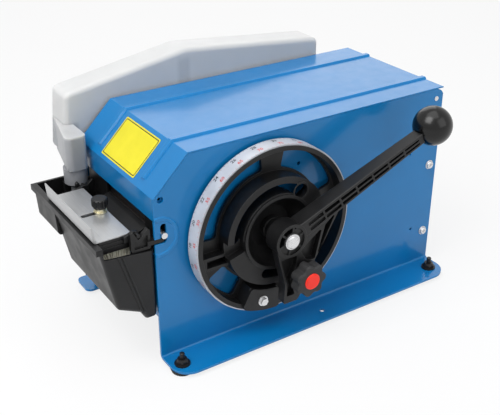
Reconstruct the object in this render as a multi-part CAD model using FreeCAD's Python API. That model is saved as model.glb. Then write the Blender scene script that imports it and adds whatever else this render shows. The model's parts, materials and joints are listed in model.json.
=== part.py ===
"""Counter-top gummed tape dispenser, hand lever type, as separate named pieces.

Working axes while the pieces are made: X runs from the front edge of the side plates to the
back, Y from the outer face of the dial-side plate to the bottle side, Z up from the top of the
foot flanges.  save() moves every piece so that the origin of the part is the middle of the
floor plane under its whole bounding box.  All sizes are millimetres.
"""
import FreeCAD, Part
import math
import os

V = FreeCAD.Vector
PLUS_Y, PLUS_Z = V(0, 1, 0), V(0, 0, 1)

# ---- case -----------------------------------------------------------------------------------
CASE_LENGTH = 348.5          # front edge to back edge of the side plates
CASE_WIDTH = 160.0           # over both side plates
CASE_HEIGHT = 210.0          # foot flange to the top of the closed cover
RIDGE_X = 37.0               # where the sloping front of the cover meets its flat top
SLOPE_FOOT_Z = 173.0         # height of the lower edge of the sloping front
LIP_BOTTOM_Z = 150.0         # lower edge of the cover's front lip
PLATE = 2.5                  # side plate sheet
COVER_SHEET = 1.5            # cover sheet
PANEL_SHEET = 2.0            # apron, back panel and base pan sheet
FLANGE_WIDTH = 38.0          # foot flange, outside the side plate
FLANGE_CORNER_R = 20.0
BEND_R = 2.5                 # inside radius of the foot flange bend
FIT_GAP = 0.3                # clearance between pieces that move past each other
RUN_FIT = 0.05               # radial clearance of a shaft in its bush
HOLE_FIT = 0.25              # radial clearance of a screw in its hole

# ---- beads pressed into the cover -----------------------------------------------------------
BEAD_YS = (31.0, CASE_WIDTH - 35.0)      # middle lines of the two beads
BEAD_WIDTH = 8.0
BEAD_RISE = 2.0
BEAD_EDGE = 1.6              # width of their sloping edges
BEAD_FROM_FRONT = 7.0        # their lower ends from the cover's front edge
COVER_BACK_R = 1.4           # rounding of the cover's top back edge

# ---- cover hinge ----------------------------------------------------------------------------
HINGE_FROM_TOP = 12.0        # hinge axis below the cover's top
HINGE_FROM_BACK = 9.5        # hinge axis in front of the back edge
HINGE_PIN_R = 2.0
HINGE_HEAD_R = 2.6
HINGE_HEAD_T = 0.8
EAR_SHEET = 2.0              # hinge ears and latch ears welded inside the cover
LATCH_HOLE_R = 3.3
LATCH_X, LATCH_Z = 7.5, 170.5

# ---- screws and spacers of the case ---------------------------------------------------------
PANEL_SCREW_Z = (121.0, 38.0)
PANEL_SCREW_INSET = 10.0     # their axes in front of the back edge
SCREW_R = 2.0
SCREW_HEAD_R = 4.2
SCREW_HEAD_T = 2.4
SCREW_WASHER_R = 5.2
SCREW_WASHER_T = 0.8
SPACER_R = 5.0
TOP_SPACER_X, TOP_SPACER_DROP = 162.5, 21.4  # upper spacer rod, below the top of the cover
LOW_SPACER_X, LOW_SPACER_Z = 105.0, 31.5
SMALL_HOLES = ((CASE_LENGTH - 28.5, 45.0, 1.6), (160.0, 168.0, 2.0), (CASE_LENGTH - 39.5, 140.0, 1.2))

# ---- pan, apron and back --------------------------------------------------------------------
BACK_INSET = 3.5             # back panel in front of the side plates' back edges
BACK_BOTTOM_Z = 3.5          # lower edge of the back panel
APRON_BOTTOM_Z = 44.0        # lower edge of the apron: the front is open below it
PAN_FRONT_X = 36.0
PANEL_DEPTH = 11.0           # flanges of the apron, along the side plates
BACK_DEPTH = 14.0            # flanges of the back panel
BACK_RISE = 19.0             # back panel's face above its flanges, between the cover's hinge ears
BACK_SIDE_GAP = 7.0          # each side of that raised face from the outside of the case
PAN_BOTTOM_Z = 1.0
PAN_TOP_Z = 16.0
PAN_BACK_GAP = 2.0
VENT_X, VENT_PITCH, VENT_COUNT = 180.0, 30.0, 4
VENT_LENGTH, VENT_WIDTH = 70.0, 6.0
FINGER_SLOT_Z = 150.0        # slot in the back panel to pull the machine by
FINGER_SLOT_LENGTH, FINGER_SLOT_HEIGHT = 50.0, 8.0

# ---- feet -----------------------------------------------------------------------------------
FOOT_R = 12.5
FOOT_HEIGHT = 4.5
FOOT_INSET_X = 12.0          # front foot's axis from the front end of the flange
FOOT_BACK_INSET = 14.5
FOOT_OUT_Y = 20.0            # foot axis outside the side plate
STUD_R = 2.5
STUD_TOP = 13.0              # top of the foot's threaded stud above the flange
FOOT_NUT_ACROSS = 11.0
FOOT_NUT_HEIGHT = 5.0
FOOT_WASHER_R = 7.8
FOOT_WASHER_T = 1.6
COUNTER_HOLE_X = 180.0       # hole for screwing the machine to a counter
COUNTER_HOLE_OUT_Y = 22.0
COUNTER_HOLE_R = 2.75
TOE_X, TOE_BACK_X = -13.0, 4.0       # rounded toe of the bottle-side flange, in front of the plate
TOE_NEAR_Y, TOE_FAR_Y = CASE_WIDTH - 12.0, CASE_WIDTH + 19.0
TOE_R = 7.0

# ---- main shaft and dial --------------------------------------------------------------------
SHAFT_X, SHAFT_Z = 120.0, 115.0
SHAFT_R = 8.0
BUSH_WALL = 3.0
BUSH_FLANGE_R = 15.0
BUSH_FLANGE_T = 1.5
SMALL_BUSH_LENGTH = 3.5
WHEEL_R = 88.0               # over the white scale band
WHEEL_BACK_GAP = 3.0         # dial-side plate to the back of the wheel
WHEEL_DEPTH = 17.5
BAND_T = 1.5
RIM_WALL = 4.5
WEB_T = 3.5
HUB_R = 57.0
HUB_DEPTH = 21.0
HUB_NOTCH = (-182.0, -165.0)  # notch across the hub's front ring
HUB_NOTCH_DEPTH = 8.0
SLOT_OUTER_R = 50.0          # arcuate slots of the hub
SLOT_WIDTH = 10.0
SLOT_INNER_R = SLOT_OUTER_R - SLOT_WIDTH
DISH_RIM_R = SLOT_INNER_R - 1.0
DISH_RIM_WALL = 3.0
DISH_RIM_RISE = 2.5
DISH_FLOOR_R = 22.0
DISH_FLOOR_T = 6.0
SETTING_SLOT = (58.0, 178.0)         # degrees, counter-clockwise from the back, upper slot
CLAMP_SLOT = (-108.0, 16.0)          # slot that the clamp bolt runs in
SLOT_EYE_DEG = 56.0          # wide round end of the setting slot
SLOT_EYE_R, SLOT_EYE_WALL = 7.5, 1.8
SLOT_EYE_RISE = 1.2
EYE_RELIEF = (32.0, 72.0)    # hollow behind it
EYE_FACE_T = 5.0             # hub face left in front of the hollow
WINDOWS = ((18.0, 77.0), (97.0, 178.0), (-150.0, -122.0), (-58.0, -2.0))
WINDOW_INNER_R = 59.5
WINDOW_OUTER_R = 80.0
RIB_DROP = 17.0              # raised hollow rib of the web, below the shaft axis
RIB_WIDTH = 14.0
RIB_RISE = 10.0
RIB_WALL = 3.0
STOP_ARC = (-118.0, -88.0)
STOP_INNER_R = 63.0
STOP_RISE = 3.0              # stop block proud of the rim
STOP_CORNER_R = 4.0
STOP_SCREW_R = 5.5           # its washer
STOP_WASHER_T = 1.0
STOP_HEAD_R = 4.2            # over the corners of its head
STOP_HEAD_T = 3.0
STOP_HOLE_R = 2.5

# ---- lever ----------------------------------------------------------------------------------
LEVER_ANGLE = 25.2           # above horizontal at rest
LEVER_LENGTH = 187.0         # shaft axis to the centre of the ball
BOSS_R = 17.5
BOSS_FRONT_Y = -47.0
BOSS_BACK_Y = -28.5
BOSS_RIM = 3.0
ARM_HUB_DEPTH = 17.0         # arm height in the plane of the swing, at the boss
ARM_TIP_DEPTH = 11.0
ARM_HUB_Y = (-46.0, -27.0)
ARM_TIP_Y = (-53.5, -40.5)
ARM_WALL = 2.6
ARM_POCKET = 6.0
ARM_BAYS = 7
BALL_R = 20.0
ARM_START = 8.0              # arm's own ends along it, from the shaft axis
ARM_END = LEVER_LENGTH - 0.8 * BALL_R
TAIL_Y = (-45.0, -35.0)
SHAFT_NOSE = 3.0             # shaft end proud of the boss
WASHER_R = 8.0
WASHER_T = 1.2

# ---- length clamp ---------------------------------------------------------------------------
CLAMP_ANGLE = -70.4
CLAMP_BOSS_R = 12.0
CLAMP_BOSS_FRONT_Y = -46.0
CLAMP_BOLT_R = SLOT_WIDTH / 2 - 1.0
CLAMP_SHOE_T = 4.0
SHOE_ROOM = 8.0              # recess behind the dial's slot for the clamp shoe
KNOB_LOBES = 7
KNOB_R = 20.5                # points of the lobes before they are rounded
KNOB_LOBE_R = 4.6
KNOB_VALLEY_R = 14.0         # bottoms of the valleys before they are rounded
KNOB_VALLEY_ROUND = 3.0
KNOB_DEPTH = 12.5
KNOB_SKIRT_R = 12.0
KNOB_SKIRT_DEPTH = 2.0
CAP_R = 8.5
CAP_RISE = 1.5
CAP_SEAT = 2.5               # how deep the cap sits in the knob
BOLT_END_GAP = 1.0           # bolt below the cap

# ---- gear train and rollers -----------------------------------------------------------------
MODULE = 2.0
MAIN_TEETH, COUNTER_PINION_TEETH = 56, 14
COUNTER_TEETH, FEED_PINION_TEETH = 39, 13
GEAR_T = 8.0
MAIN_GEAR_Y = CASE_WIDTH - 28.0
COUNTER_GEAR_Y = CASE_WIDTH - 15.0
FEED_X, FEED_Z = 38.0, 117.0
FEED_ROLLER_R = 20.0
FEED_CORE_R = 15.0
CLUTCH_R = 13.0
CLUTCH_LENGTH = 16.0
SMALL_SHAFT_R = 5.0
PRESS_R = 11.0
PRESS_SHAFT_R = 3.5
TAPE_WIDTH = CASE_WIDTH - 80.0       # the rest is for the gears, the guides and the latch
TAPE_CENTRE_Y = 27.0 + TAPE_WIDTH / 2
TAPE_T = 0.6                 # room left for the tape in the nip
NIP_LEAN = 14.0              # degrees that the pressure roller leans back over the feed roller
ARM_PIVOT_X, ARM_PIVOT_Z = 84.0, 168.0
ARM_ROD_R = 4.0
PRESS_ARM_T = 3.0
PRESS_ARM_HALF = 7.5

# ---- cutter ---------------------------------------------------------------------------------
KNIFE_PIVOT_X, KNIFE_PIVOT_Z = 184.0, 131.0
KNIFE_ROD_R = 4.0
KNIFE_ARM_HALF = 6.5
KNIFE_X = 8.0
KNIFE_T = 2.0
KNIFE_STROKE_DEG = 3.0
KNIFE_ARM_T = 3.0
KNIFE_BAR_T = 5.0
KNIFE_BAR_HEIGHT = 10.0
KNIFE_HOLDER_Z = 152.0
CAM_PIN_X = 87.0
CAM_PIN_R = 3.0
LEVER_SWING_DEG = 110.0
BLADE_TOP_Z = 134.0
CHEEK_INSET = 8.5            # outer ends of the mouth's cheeks from the outside of the case

# ---- tape roll bay --------------------------------------------------------------------------
ROLL_FRONT_X = 183.0
ROLL_BACK_ROOM = 29.5        # largest roll from the back edge of the case
ROLL_R = (CASE_LENGTH - ROLL_BACK_ROOM - ROLL_FRONT_X) / 2
ROLL_X = ROLL_FRONT_X + ROLL_R
ROLL_Z = 96.0
CRADLE_INSET = 26.0
CRADLE_HALF = ROLL_R - CRADLE_INSET          # each support roller from the roll's axis, along X
CRADLE_R = 9.0
TAPE_SIDE_GAP = 1.5          # each guide from the edge of the tape
GUIDE_SHEET = 2.0
GUIDE_ROD_R = 4.0
GUIDE_ROD_Z = 22.0
GUIDE_TRAVEL = 12.0          # of each guide, inward
GUIDE_ROD_OUT = 20.0         # guide rods from the support rollers, along X
GUIDE_EDGE = 9.0             # guide round its rods
GUIDE_SILL = 48.0            # guide rods to where the guide narrows
GUIDE_TOP_GAP = 4.0          # top of the guide below the top of the roll
GUIDE_FOOT_R, GUIDE_SILL_R, GUIDE_TOP_R = 4.0, 12.0, 20.0
GUIDE_SOCKET_WALL = 3.5
GUIDE_SOCKET_LENGTH = 8.0
WINDOW_LOW_Z, WINDOW_TAPER, WINDOW_CORNER_R = 74.0, 12.0, 8.0        # window in the guide

# ---- water tray -----------------------------------------------------------------------------
TRAY_WALL = 2.5
TRAY_END_GAP = 0.6           # each end of the tray inside the width of the case
TRAY_RIM_Z = 138.0
TRAY_FRONT_X = -57.0
TRAY_BACK_X = -0.5
TRAY_FLOOR_Z = 48.0
TRAY_STEP_Y = CASE_WIDTH - 49.0          # the deep trough ends here, the bottle's well goes on
APRON_X = 1.5                # face of the apron behind the tray
APRON_TOP_Z = 112.0
LEDGE_REACH = 6.0            # folded ledge of the apron that the tray stands on
LEDGE_NEAR_Y, LEDGE_FAR_Y = 22.0, CASE_WIDTH - 64.0
TRAY_WELL_Z = 101.0          # underside of the well
TRAY_RIM_DROP = 6.0
TRAY_END_Z = 121.0           # low back wall, and the back of the low near end
TRAY_END_RISE = 4.5          # how much higher the near end is at its front

# ---- moistener ------------------------------------------------------------------------------
BRUSH_NEAR_Y = 10.0
BRUSH_FAR_Y = CASE_WIDTH - 52.0
BRUSH_BASE_Z = 104.0
BRUSH_BASE_T = 8.0
BRISTLE_TOP_Z = 124.6
BRUSH_FRONT_X, BRUSH_BACK_X = -44.5, -10.5
BAR_NEAR_Y, BAR_FAR_Y = 11.5, CASE_WIDTH - 41.0
BAR_FRONT_X, BAR_BACK_X = -49.5, -18.5
BAR_EAR = 3.5                # ears at the bar's ends, which carry its pivot pins
BAR_BOTTOM_Z = 125.6
BAR_T = 12.9
BAR_GROOVES = ((5.0, 6.2), (9.4, 10.4))      # heights of the lines round its near end
BAR_GROOVE_DEPTH = 0.8
GUIDE_FRONT_X = -54.5
GUIDE_BACK_X = -17.5
GUIDE_T = 1.2
GUIDE_LIP = 17.0
GUIDE_LIP_LEAN = 1.5
NOTCH_X, NOTCH_Z = -15.0, 135.0      # root of the bearing notch in the tray's brackets
NOTCH_SIDES = (118.0, 42.0)          # directions of its two sides, degrees
LIFT_PIN_R = 2.0
BRACKET_T = 4.5
NEAR_BRACKET_Y = 2.6
FAR_BRACKET_Y = CASE_WIDTH - 36.0
THUMB_X, THUMB_Y = -24.0, 63.5
THUMB_R = 7.8
THUMB_HEIGHT = 10.0
THUMB_FLUTES = 12
COLLAR_R = 5.2
COLLAR_HEIGHT = 4.5
COLLAR_FOOT_R = 6.4
COLLAR_FOOT_T = 1.4
PLATE_SLOT_HALF = 2.8
PLATE_SLOT_TRAVEL = 15.0

# ---- tray latch -----------------------------------------------------------------------------
LATCH_SLOT_X = 9.2           # upright leg of the slot in the side plates
LATCH_SLOT_HALF = 3.1
LATCH_MOUTH_Z = (126.2, 131.6)
LATCH_SLOT_TOP_Z = 146.0
LATCH_WIRE_R = 2.75
LATCH_REST_Z = 134.35
LATCH_OUTSIDE = 1.5          # ends of the wire proud of the side plates
EMBOSS_R = 21.0              # pressed ring round the slot
EMBOSS_RING = 4.5
EMBOSS_RISE = 1.0

# ---- water bottle ---------------------------------------------------------------------------
BOTTLE_GAP = 3.0
BOTTLE_T = 37.5
BOTTLE_WALL = 2.5
BOTTLE_FRONT_X = -16.5       # lower front edge: the front leans
BOTTLE_BACK_X = CASE_LENGTH - 44.0
BOTTLE_BOTTOM_Z = 154.0
BOTTLE_CORNERS = ((-9.7, 222.0), (128.0, 246.0), (BOTTLE_BACK_X, 229.0))
BOTTLE_EDGE_R = 5.0
SPOUT_X, SPOUT_Y = -14.5, CASE_WIDTH - 17.0
SPOUT_TOP_Z = 190.0
SPOUT_NEAR_Y, SPOUT_FAR_Y = CASE_WIDTH - 30.5, CASE_WIDTH + 34.0
SPOUT_NEAR_X, SPOUT_FAR_X = -27.0, -13.0     # its slanting front, at the near and the far end
SPOUT_BACK_X = -4.5
CAP_OUTER_R = 12.0
CAP_TOP_Z = 153.5
CAP_BOTTOM_Z = 135.5
CAP_FLOOR = 4.0
CAP_WALL = 3.0
WATER_Z = 112.0              # mouth of the cap's spigot: it sets the water level in the well
VALVE_STEM_R = 1.8
SHELF_SHEET = 2.0
SHELF_LIP = 14.0
SHELF_LENGTH = 30.0
SHELF_DROP = 24.0
SHELF_XS = (70.0, CASE_LENGTH - 98.5)

# ---- the part's origin ----------------------------------------------------------------------
FLOOR_Z = -PLATE - FOOT_HEIGHT
BALL_Y = (ARM_TIP_Y[0] + ARM_TIP_Y[1]) / 2
CLAMP_FRONT_Y = CLAMP_BOSS_FRONT_Y - KNOB_SKIRT_DEPTH - KNOB_DEPTH - CAP_RISE
BOX_NEAR_Y = min(BALL_Y - BALL_R, CLAMP_FRONT_Y - FIT_GAP)
BOX_FAR_Y = CASE_WIDTH + max(BOTTLE_GAP + BOTTLE_T, FLANGE_WIDTH) + SHELF_SHEET + FIT_GAP
BOX_FRONT_X = min(TRAY_FRONT_X, GUIDE_FRONT_X - GUIDE_LIP_LEAN, FOOT_INSET_X - FOOT_R)
BOX_BACK_X = max(CASE_LENGTH, BOTTLE_BACK_X, CASE_LENGTH - FOOT_BACK_INSET + FOOT_R)
ORIGIN = V((BOX_FRONT_X + BOX_BACK_X) / 2, (BOX_NEAR_Y + BOX_FAR_Y) / 2, FLOOR_Z)

os.makedirs("parts", exist_ok=True)


# ---- helpers --------------------------------------------------------------------------------
def save(node, *solids):
    """Write the solids of one piece, moved to the part's own origin."""
    shape = solids[0] if len(solids) == 1 else Part.makeCompound(list(solids))
    shape = shape.copy()
    shape.translate(ORIGIN * -1)
    shape.exportStep("parts/%s.step" % node)


def box(x0, x1, y0, y1, z0, z1):
    return Part.makeBox(x1 - x0, y1 - y0, z1 - z0, V(x0, y0, z0))


def rod_y(x, z, r, y0, y1):
    return Part.makeCylinder(r, y1 - y0, V(x, y0, z), PLUS_Y)


def rod_z(x, y, r, z0, z1):
    return Part.makeCylinder(r, z1 - z0, V(x, y, z0), PLUS_Z)


def tube_y(x, z, r_in, r_out, y0, y1):
    return rod_y(x, z, r_out, y0, y1).cut(rod_y(x, z, r_in, y0 - 1, y1 + 1))


def fuse(first, *rest):
    return first.fuse(list(rest)).removeSplitter() if rest else first


def cut(base, *tools):
    return base.cut(list(tools))


def chosen(shape, test):
    """Edges of the shape whose bounding box passes the test."""
    return [e for e in shape.Edges if test(e.BoundBox)]


def chamfered(shape, size, test):
    return shape.makeChamfer(size, chosen(shape, test))


def filleted(shape, size, test):
    return shape.makeFillet(size, chosen(shape, test))


def place(plane, u, v, w):
    """Point of a profile drawn in plane xz, xy or yz, at distance w along the third axis."""
    return {"xz": V(u, w, v), "xy": V(u, v, w), "yz": V(w, u, v)}[plane]


def outline(plane, points, at, radius=0.0):
    """Closed wire through points, its corners rounded by one radius or by a list of them."""
    count = len(points)
    radii = radius if isinstance(radius, (list, tuple)) else [radius] * count
    starts, ends, mids = [], [], []
    for i in range(count):
        here = V(points[i][0], points[i][1], 0)
        back = V(points[i - 1][0], points[i - 1][1], 0) - here
        ahead = V(points[(i + 1) % count][0], points[(i + 1) % count][1], 0) - here
        turn = math.pi - back.getAngle(ahead)
        reach = radii[i] * math.tan(turn / 2)
        a, b = V(back).normalize(), V(ahead).normalize()
        starts.append(here + a * reach)
        ends.append(here + b * reach)
        bisector = a + b
        if radii[i] > 0 and bisector.Length > 1e-9:
            depth = radii[i] / math.cos(turn / 2) - radii[i]
            mids.append(here + bisector.normalize() * depth)
        else:
            mids.append(None)
    edges = []
    for i in range(count):
        a, m, b = starts[i], mids[i], ends[i]
        if m is not None:
            arc = Part.Arc(*[place(plane, p.x, p.y, at) for p in (a, m, b)])
            edges.append(arc.toShape())
        c = starts[(i + 1) % count]
        if (c - b).Length > 1e-6:
            edges.append(Part.makeLine(place(plane, b.x, b.y, at), place(plane, c.x, c.y, at)))
    return Part.Wire(edges)


def prism(plane, points, w0, w1, radius=0.0):
    """Solid between w0 and w1 whose section is the rounded outline."""
    face = Part.Face(outline(plane, points, w0, radius))
    return face.extrude(place(plane, 0, 0, w1 - w0))


def polar(radius, degrees, x=SHAFT_X, z=SHAFT_Z):
    """Point (x, z) at an angle that runs counter-clockwise as seen from the dial side."""
    a = math.radians(degrees)
    return (x + radius * math.cos(a), z + radius * math.sin(a))


def turned(shape, degrees, x=SHAFT_X, z=SHAFT_Z):
    """Copy turned counter-clockwise, seen from the dial side, about a line along Y."""
    copy = shape.copy()
    copy.rotate(V(x, 0, z), PLUS_Y, -degrees)
    return copy


def sector(r_in, r_out, start, end, y0, y1, corner=0.0):
    """Piece of a ring about the main shaft between two angles."""
    middle = (start + end) / 2
    inner = [polar(r_in, a) for a in (start, middle, end)]
    outer = [polar(r_out, a) for a in (end, middle, start)]
    to3 = [V(p[0], y0, p[1]) for p in inner + outer]
    wire = Part.Wire([Part.Arc(to3[0], to3[1], to3[2]).toShape(), Part.makeLine(to3[2], to3[3]),
                      Part.Arc(to3[3], to3[4], to3[5]).toShape(), Part.makeLine(to3[5], to3[0])])
    solid = Part.Face(wire).extrude(V(0, y1 - y0, 0))
    if corner:
        upright = [e for e in solid.Edges if abs(abs(e.tangentAt(e.FirstParameter).y) - 1) < 1e-6]
        solid = solid.makeFillet(corner, upright)
    return solid


def arc_slot(r_in, r_out, start, end, y0, y1):
    """Arcuate slot with round ends, about the main shaft."""
    middle, half = (r_in + r_out) / 2, (r_out - r_in) / 2
    ends = [rod_y(*polar(middle, a), half, y0, y1) for a in (start, end)]
    return fuse(sector(r_in, r_out, start, end, y0, y1), *ends)


def gear(teeth, thickness, bore, y0, x, z, tooth_angle):
    """Spur gear on an axis along Y, with the middle of one tooth at tooth_angle."""
    pitch_r = MODULE * teeth / 2
    root_r, tip_r = pitch_r - 1.05 * MODULE, pitch_r + 0.85 * MODULE
    step = 360.0 / teeth
    points = []
    for i in range(teeth):
        for r, share in ((root_r, -0.30), (tip_r, -0.115), (tip_r, 0.115), (root_r, 0.30)):
            points.append(polar(r, tooth_angle + step * (i + share), x, z))
    body = prism("xz", points, y0, y0 + thickness)
    return cut(body, rod_y(x, z, bore, y0 - 1, y0 + thickness + 1))


def direction(x0, z0, x1, z1):
    return math.degrees(math.atan2(z1 - z0, x1 - x0))


def both_sides(maker):
    """The pieces that maker gives for the dial side, and their mirror images."""
    near = maker()
    return near, [s.mirror(V(0, CASE_WIDTH / 2, 0), PLUS_Y) for s in near]


# ---- derived places -------------------------------------------------------------------------
INNER_NEAR_Y = PLATE
INNER_FAR_Y = CASE_WIDTH - PLATE
SLOPE_DEG = math.degrees(math.atan2(CASE_HEIGHT - SLOPE_FOOT_Z, RIDGE_X))
HINGE_X = CASE_LENGTH - HINGE_FROM_BACK
BACK_X = CASE_LENGTH - BACK_INSET
HINGE_Z = CASE_HEIGHT - HINGE_FROM_TOP
REACH = MODULE * (MAIN_TEETH + COUNTER_PINION_TEETH) / 2
REACH_2 = MODULE * (COUNTER_TEETH + FEED_PINION_TEETH) / 2
SPAN = math.hypot(SHAFT_X - FEED_X, SHAFT_Z - FEED_Z)
ALONG = (REACH ** 2 - REACH_2 ** 2 + SPAN ** 2) / (2 * SPAN)
TO_FEED = math.radians(direction(SHAFT_X, SHAFT_Z, FEED_X, FEED_Z))
COUNTER_TURN = TO_FEED + math.acos(ALONG / REACH)
COUNTER_X = SHAFT_X + REACH * math.cos(COUNTER_TURN)
COUNTER_Z = SHAFT_Z + REACH * math.sin(COUNTER_TURN)
PRESS_REACH = FEED_ROLLER_R + PRESS_R + TAPE_T
PRESS_X = FEED_X + PRESS_REACH * math.sin(math.radians(NIP_LEAN))
PRESS_Z = FEED_Z + PRESS_REACH * math.cos(math.radians(NIP_LEAN))
TAPE_NEAR_Y = TAPE_CENTRE_Y - TAPE_WIDTH / 2
TAPE_FAR_Y = TAPE_CENTRE_Y + TAPE_WIDTH / 2
WHEEL_BACK_Y = -WHEEL_BACK_GAP
WHEEL_FRONT_Y = WHEEL_BACK_Y - WHEEL_DEPTH
HUB_FRONT_Y = WHEEL_BACK_Y - HUB_DEPTH
SLOT_MEAN_R = (SLOT_INNER_R + SLOT_OUTER_R) / 2
CLAMP_X, CLAMP_Z = polar(SLOT_MEAN_R, CLAMP_ANGLE)
COVER_INNER_Z = CASE_HEIGHT - COVER_SHEET
PANEL_SCREWS = [(CASE_LENGTH - PANEL_SCREW_INSET, z) for z in PANEL_SCREW_Z]
SPACERS = [(TOP_SPACER_X, CASE_HEIGHT - TOP_SPACER_DROP), (LOW_SPACER_X, LOW_SPACER_Z)]
CRADLE_Z = ROLL_Z - math.sqrt((ROLL_R + CRADLE_R) ** 2 - CRADLE_HALF ** 2)
CRADLE_XS = (ROLL_X - CRADLE_HALF, ROLL_X + CRADLE_HALF)
GUIDE_XS = (CRADLE_XS[0] - GUIDE_ROD_OUT, CRADLE_XS[1] + GUIDE_ROD_OUT)
STEM_R = PLATE_SLOT_HALF - FIT_GAP
NOTCH_HALF = math.radians(NOTCH_SIDES[0] - NOTCH_SIDES[1]) / 2
NOTCH_REACH = (LIFT_PIN_R + FIT_GAP) / math.sin(NOTCH_HALF)
LIFT_AXIS_X, LIFT_AXIS_Z = polar(NOTCH_REACH, sum(NOTCH_SIDES) / 2, NOTCH_X, NOTCH_Z)
KNOB_BACK_Y = CLAMP_BOSS_FRONT_Y - FIT_GAP
KNOB_FRONT_Y = KNOB_BACK_Y - KNOB_SKIRT_DEPTH - KNOB_DEPTH
BOLT_FRONT_Y = KNOB_FRONT_Y + CAP_SEAT + BOLT_END_GAP
KNIFE_NEAR_Y = TAPE_NEAR_Y - 11.0
KNIFE_FAR_Y = TAPE_FAR_Y + 9.0
THUMB_BASE_Z = BAR_BOTTOM_Z + BAR_T + GUIDE_T + FIT_GAP


# ---- side plates ----------------------------------------------------------------------------
def case_profile(inset):
    """Side view of the case, pulled in from the cover's outer surface by inset."""
    slope = math.radians(SLOPE_DEG)
    ridge = inset * math.tan(slope / 2)
    foot = inset / math.cos(slope)
    return [(0, 0), (CASE_LENGTH, 0), (CASE_LENGTH, CASE_HEIGHT - inset),
            (RIDGE_X + ridge, CASE_HEIGHT - inset), (0, SLOPE_FOOT_Z - foot)]


def side_plate(slots_and_holes):
    """Dial-side plate with its foot flange bent outward."""
    flange_y = -FLANGE_WIDTH
    top = CASE_HEIGHT
    bend = outline("yz", [(0, top), (PLATE, top), (PLATE, -PLATE), (flange_y, -PLATE), (flange_y, 0), (0, 0)],
                   0, [0, 0, BEND_R + PLATE, 0, 0, BEND_R])
    angle = Part.Face(bend).extrude(V(CASE_LENGTH, 0, 0))
    wall = prism("xz", case_profile(COVER_SHEET + FIT_GAP), -BEND_R, PLATE)
    foot = prism("xy", [(0, PLATE), (0, flange_y), (CASE_LENGTH, flange_y), (CASE_LENGTH, PLATE)],
                 -PLATE, BEND_R, [0, FLANGE_CORNER_R, FLANGE_CORNER_R, 0])
    plate = angle.common(fuse(wall, foot))
    back_corner = cut(box(HINGE_X, CASE_LENGTH + 1, -1, PLATE + 1, HINGE_Z, CASE_HEIGHT),
                      rod_y(HINGE_X, HINGE_Z, HINGE_FROM_TOP - COVER_SHEET - FIT_GAP, -2, PLATE + 2))
    return cut(plate, back_corner, *slots_and_holes)


def latch_slot():
    """Mouth at the front edge that turns up into the closed leg the latch rides in."""
    low, high = LATCH_MOUTH_Z
    right = LATCH_SLOT_X + LATCH_SLOT_HALF
    left = LATCH_SLOT_X - LATCH_SLOT_HALF
    top = LATCH_SLOT_TOP_Z
    shape = [(-1, low), (right, low), (right, top), (left, top), (left, high), (-1, high)]
    round_end = LATCH_SLOT_HALF - 0.1
    return prism("xz", shape, -1, PLATE + 1, [0, LATCH_SLOT_HALF, round_end, round_end, 1, 0])


def plate_holes():
    holes = [latch_slot(), rod_y(LATCH_X, LATCH_Z, LATCH_HOLE_R, -1, PLATE + 1)]
    holes.append(rod_y(HINGE_X, HINGE_Z, HINGE_PIN_R + RUN_FIT, -1, PLATE + 1))
    holes += [rod_y(x, z, SCREW_R + HOLE_FIT, -1, PLATE + 1) for x, z in PANEL_SCREWS]
    holes += [rod_y(x, z, r, -1, PLATE + 1) for x, z, r in SMALL_HOLES]
    holes.append(rod_y(SHAFT_X, SHAFT_Z, SHAFT_R + BUSH_WALL, -1, PLATE + 1))
    for x in (FOOT_INSET_X, CASE_LENGTH - FOOT_BACK_INSET):
        holes.append(rod_z(x, -FOOT_OUT_Y, STUD_R + HOLE_FIT, -PLATE - 1, 1))
    holes.append(rod_z(COUNTER_HOLE_X, -COUNTER_HOLE_OUT_Y, COUNTER_HOLE_R, -PLATE - 1, 1))
    return holes


def side_plates():
    """The two plates: the dial side has a ring pressed round its latch slot, the bottle side a toe."""
    near, far = both_sides(lambda: [side_plate(plate_holes())])
    x, z = LATCH_SLOT_X - 5.0, sum(LATCH_MOUTH_Z) / 2 + 4.0
    ring = tube_y(x, z, EMBOSS_R - EMBOSS_RING, EMBOSS_R, -EMBOSS_RISE, 0)
    ring = chamfered(ring, 0.9 * EMBOSS_RISE, lambda b: b.YMax < 0.01 - EMBOSS_RISE)
    front = box(0, x + EMBOSS_R, -2 * EMBOSS_RISE, 1, z - EMBOSS_R, z + EMBOSS_R)
    save("dial_side_plate", fuse(near[0], cut(ring.common(front), latch_slot())))
    corners = [(TOE_X, TOE_NEAR_Y), (TOE_BACK_X, TOE_NEAR_Y), (TOE_BACK_X, TOE_FAR_Y), (TOE_X, TOE_FAR_Y)]
    toe = prism("xy", corners, -PLATE, 0, [TOE_R, 0, 0, TOE_R])
    save("bottle_side_plate", fuse(far[0], toe))


# ---- pieces between the side plates ---------------------------------------------------------
def base_pan():
    """Floor of the case: a shallow channel with its side flanges against the side plates."""
    x0, x1 = PAN_FRONT_X, BACK_X - BACK_DEPTH - PAN_BACK_GAP
    z0 = PAN_BOTTOM_Z
    floor = box(x0, x1, INNER_NEAR_Y, INNER_FAR_Y, z0, z0 + PANEL_SHEET)
    sides = [box(x0, x1, y, y + PANEL_SHEET, z0, PAN_TOP_Z)
             for y in (INNER_NEAR_Y, INNER_FAR_Y - PANEL_SHEET)]
    y0, y1 = CASE_WIDTH / 2 - VENT_LENGTH / 2, CASE_WIDTH / 2 + VENT_LENGTH / 2
    vents = []
    for i in range(VENT_COUNT):
        x = VENT_X + VENT_PITCH * i
        corners = [(x, y0), (x + VENT_WIDTH, y0), (x + VENT_WIDTH, y1), (x, y1)]
        vents.append(prism("xy", corners, z0 - 1, z0 + PANEL_SHEET + 1, VENT_WIDTH / 2 - 0.1))
    save("base_pan", cut(fuse(floor, *sides), *vents))


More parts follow.
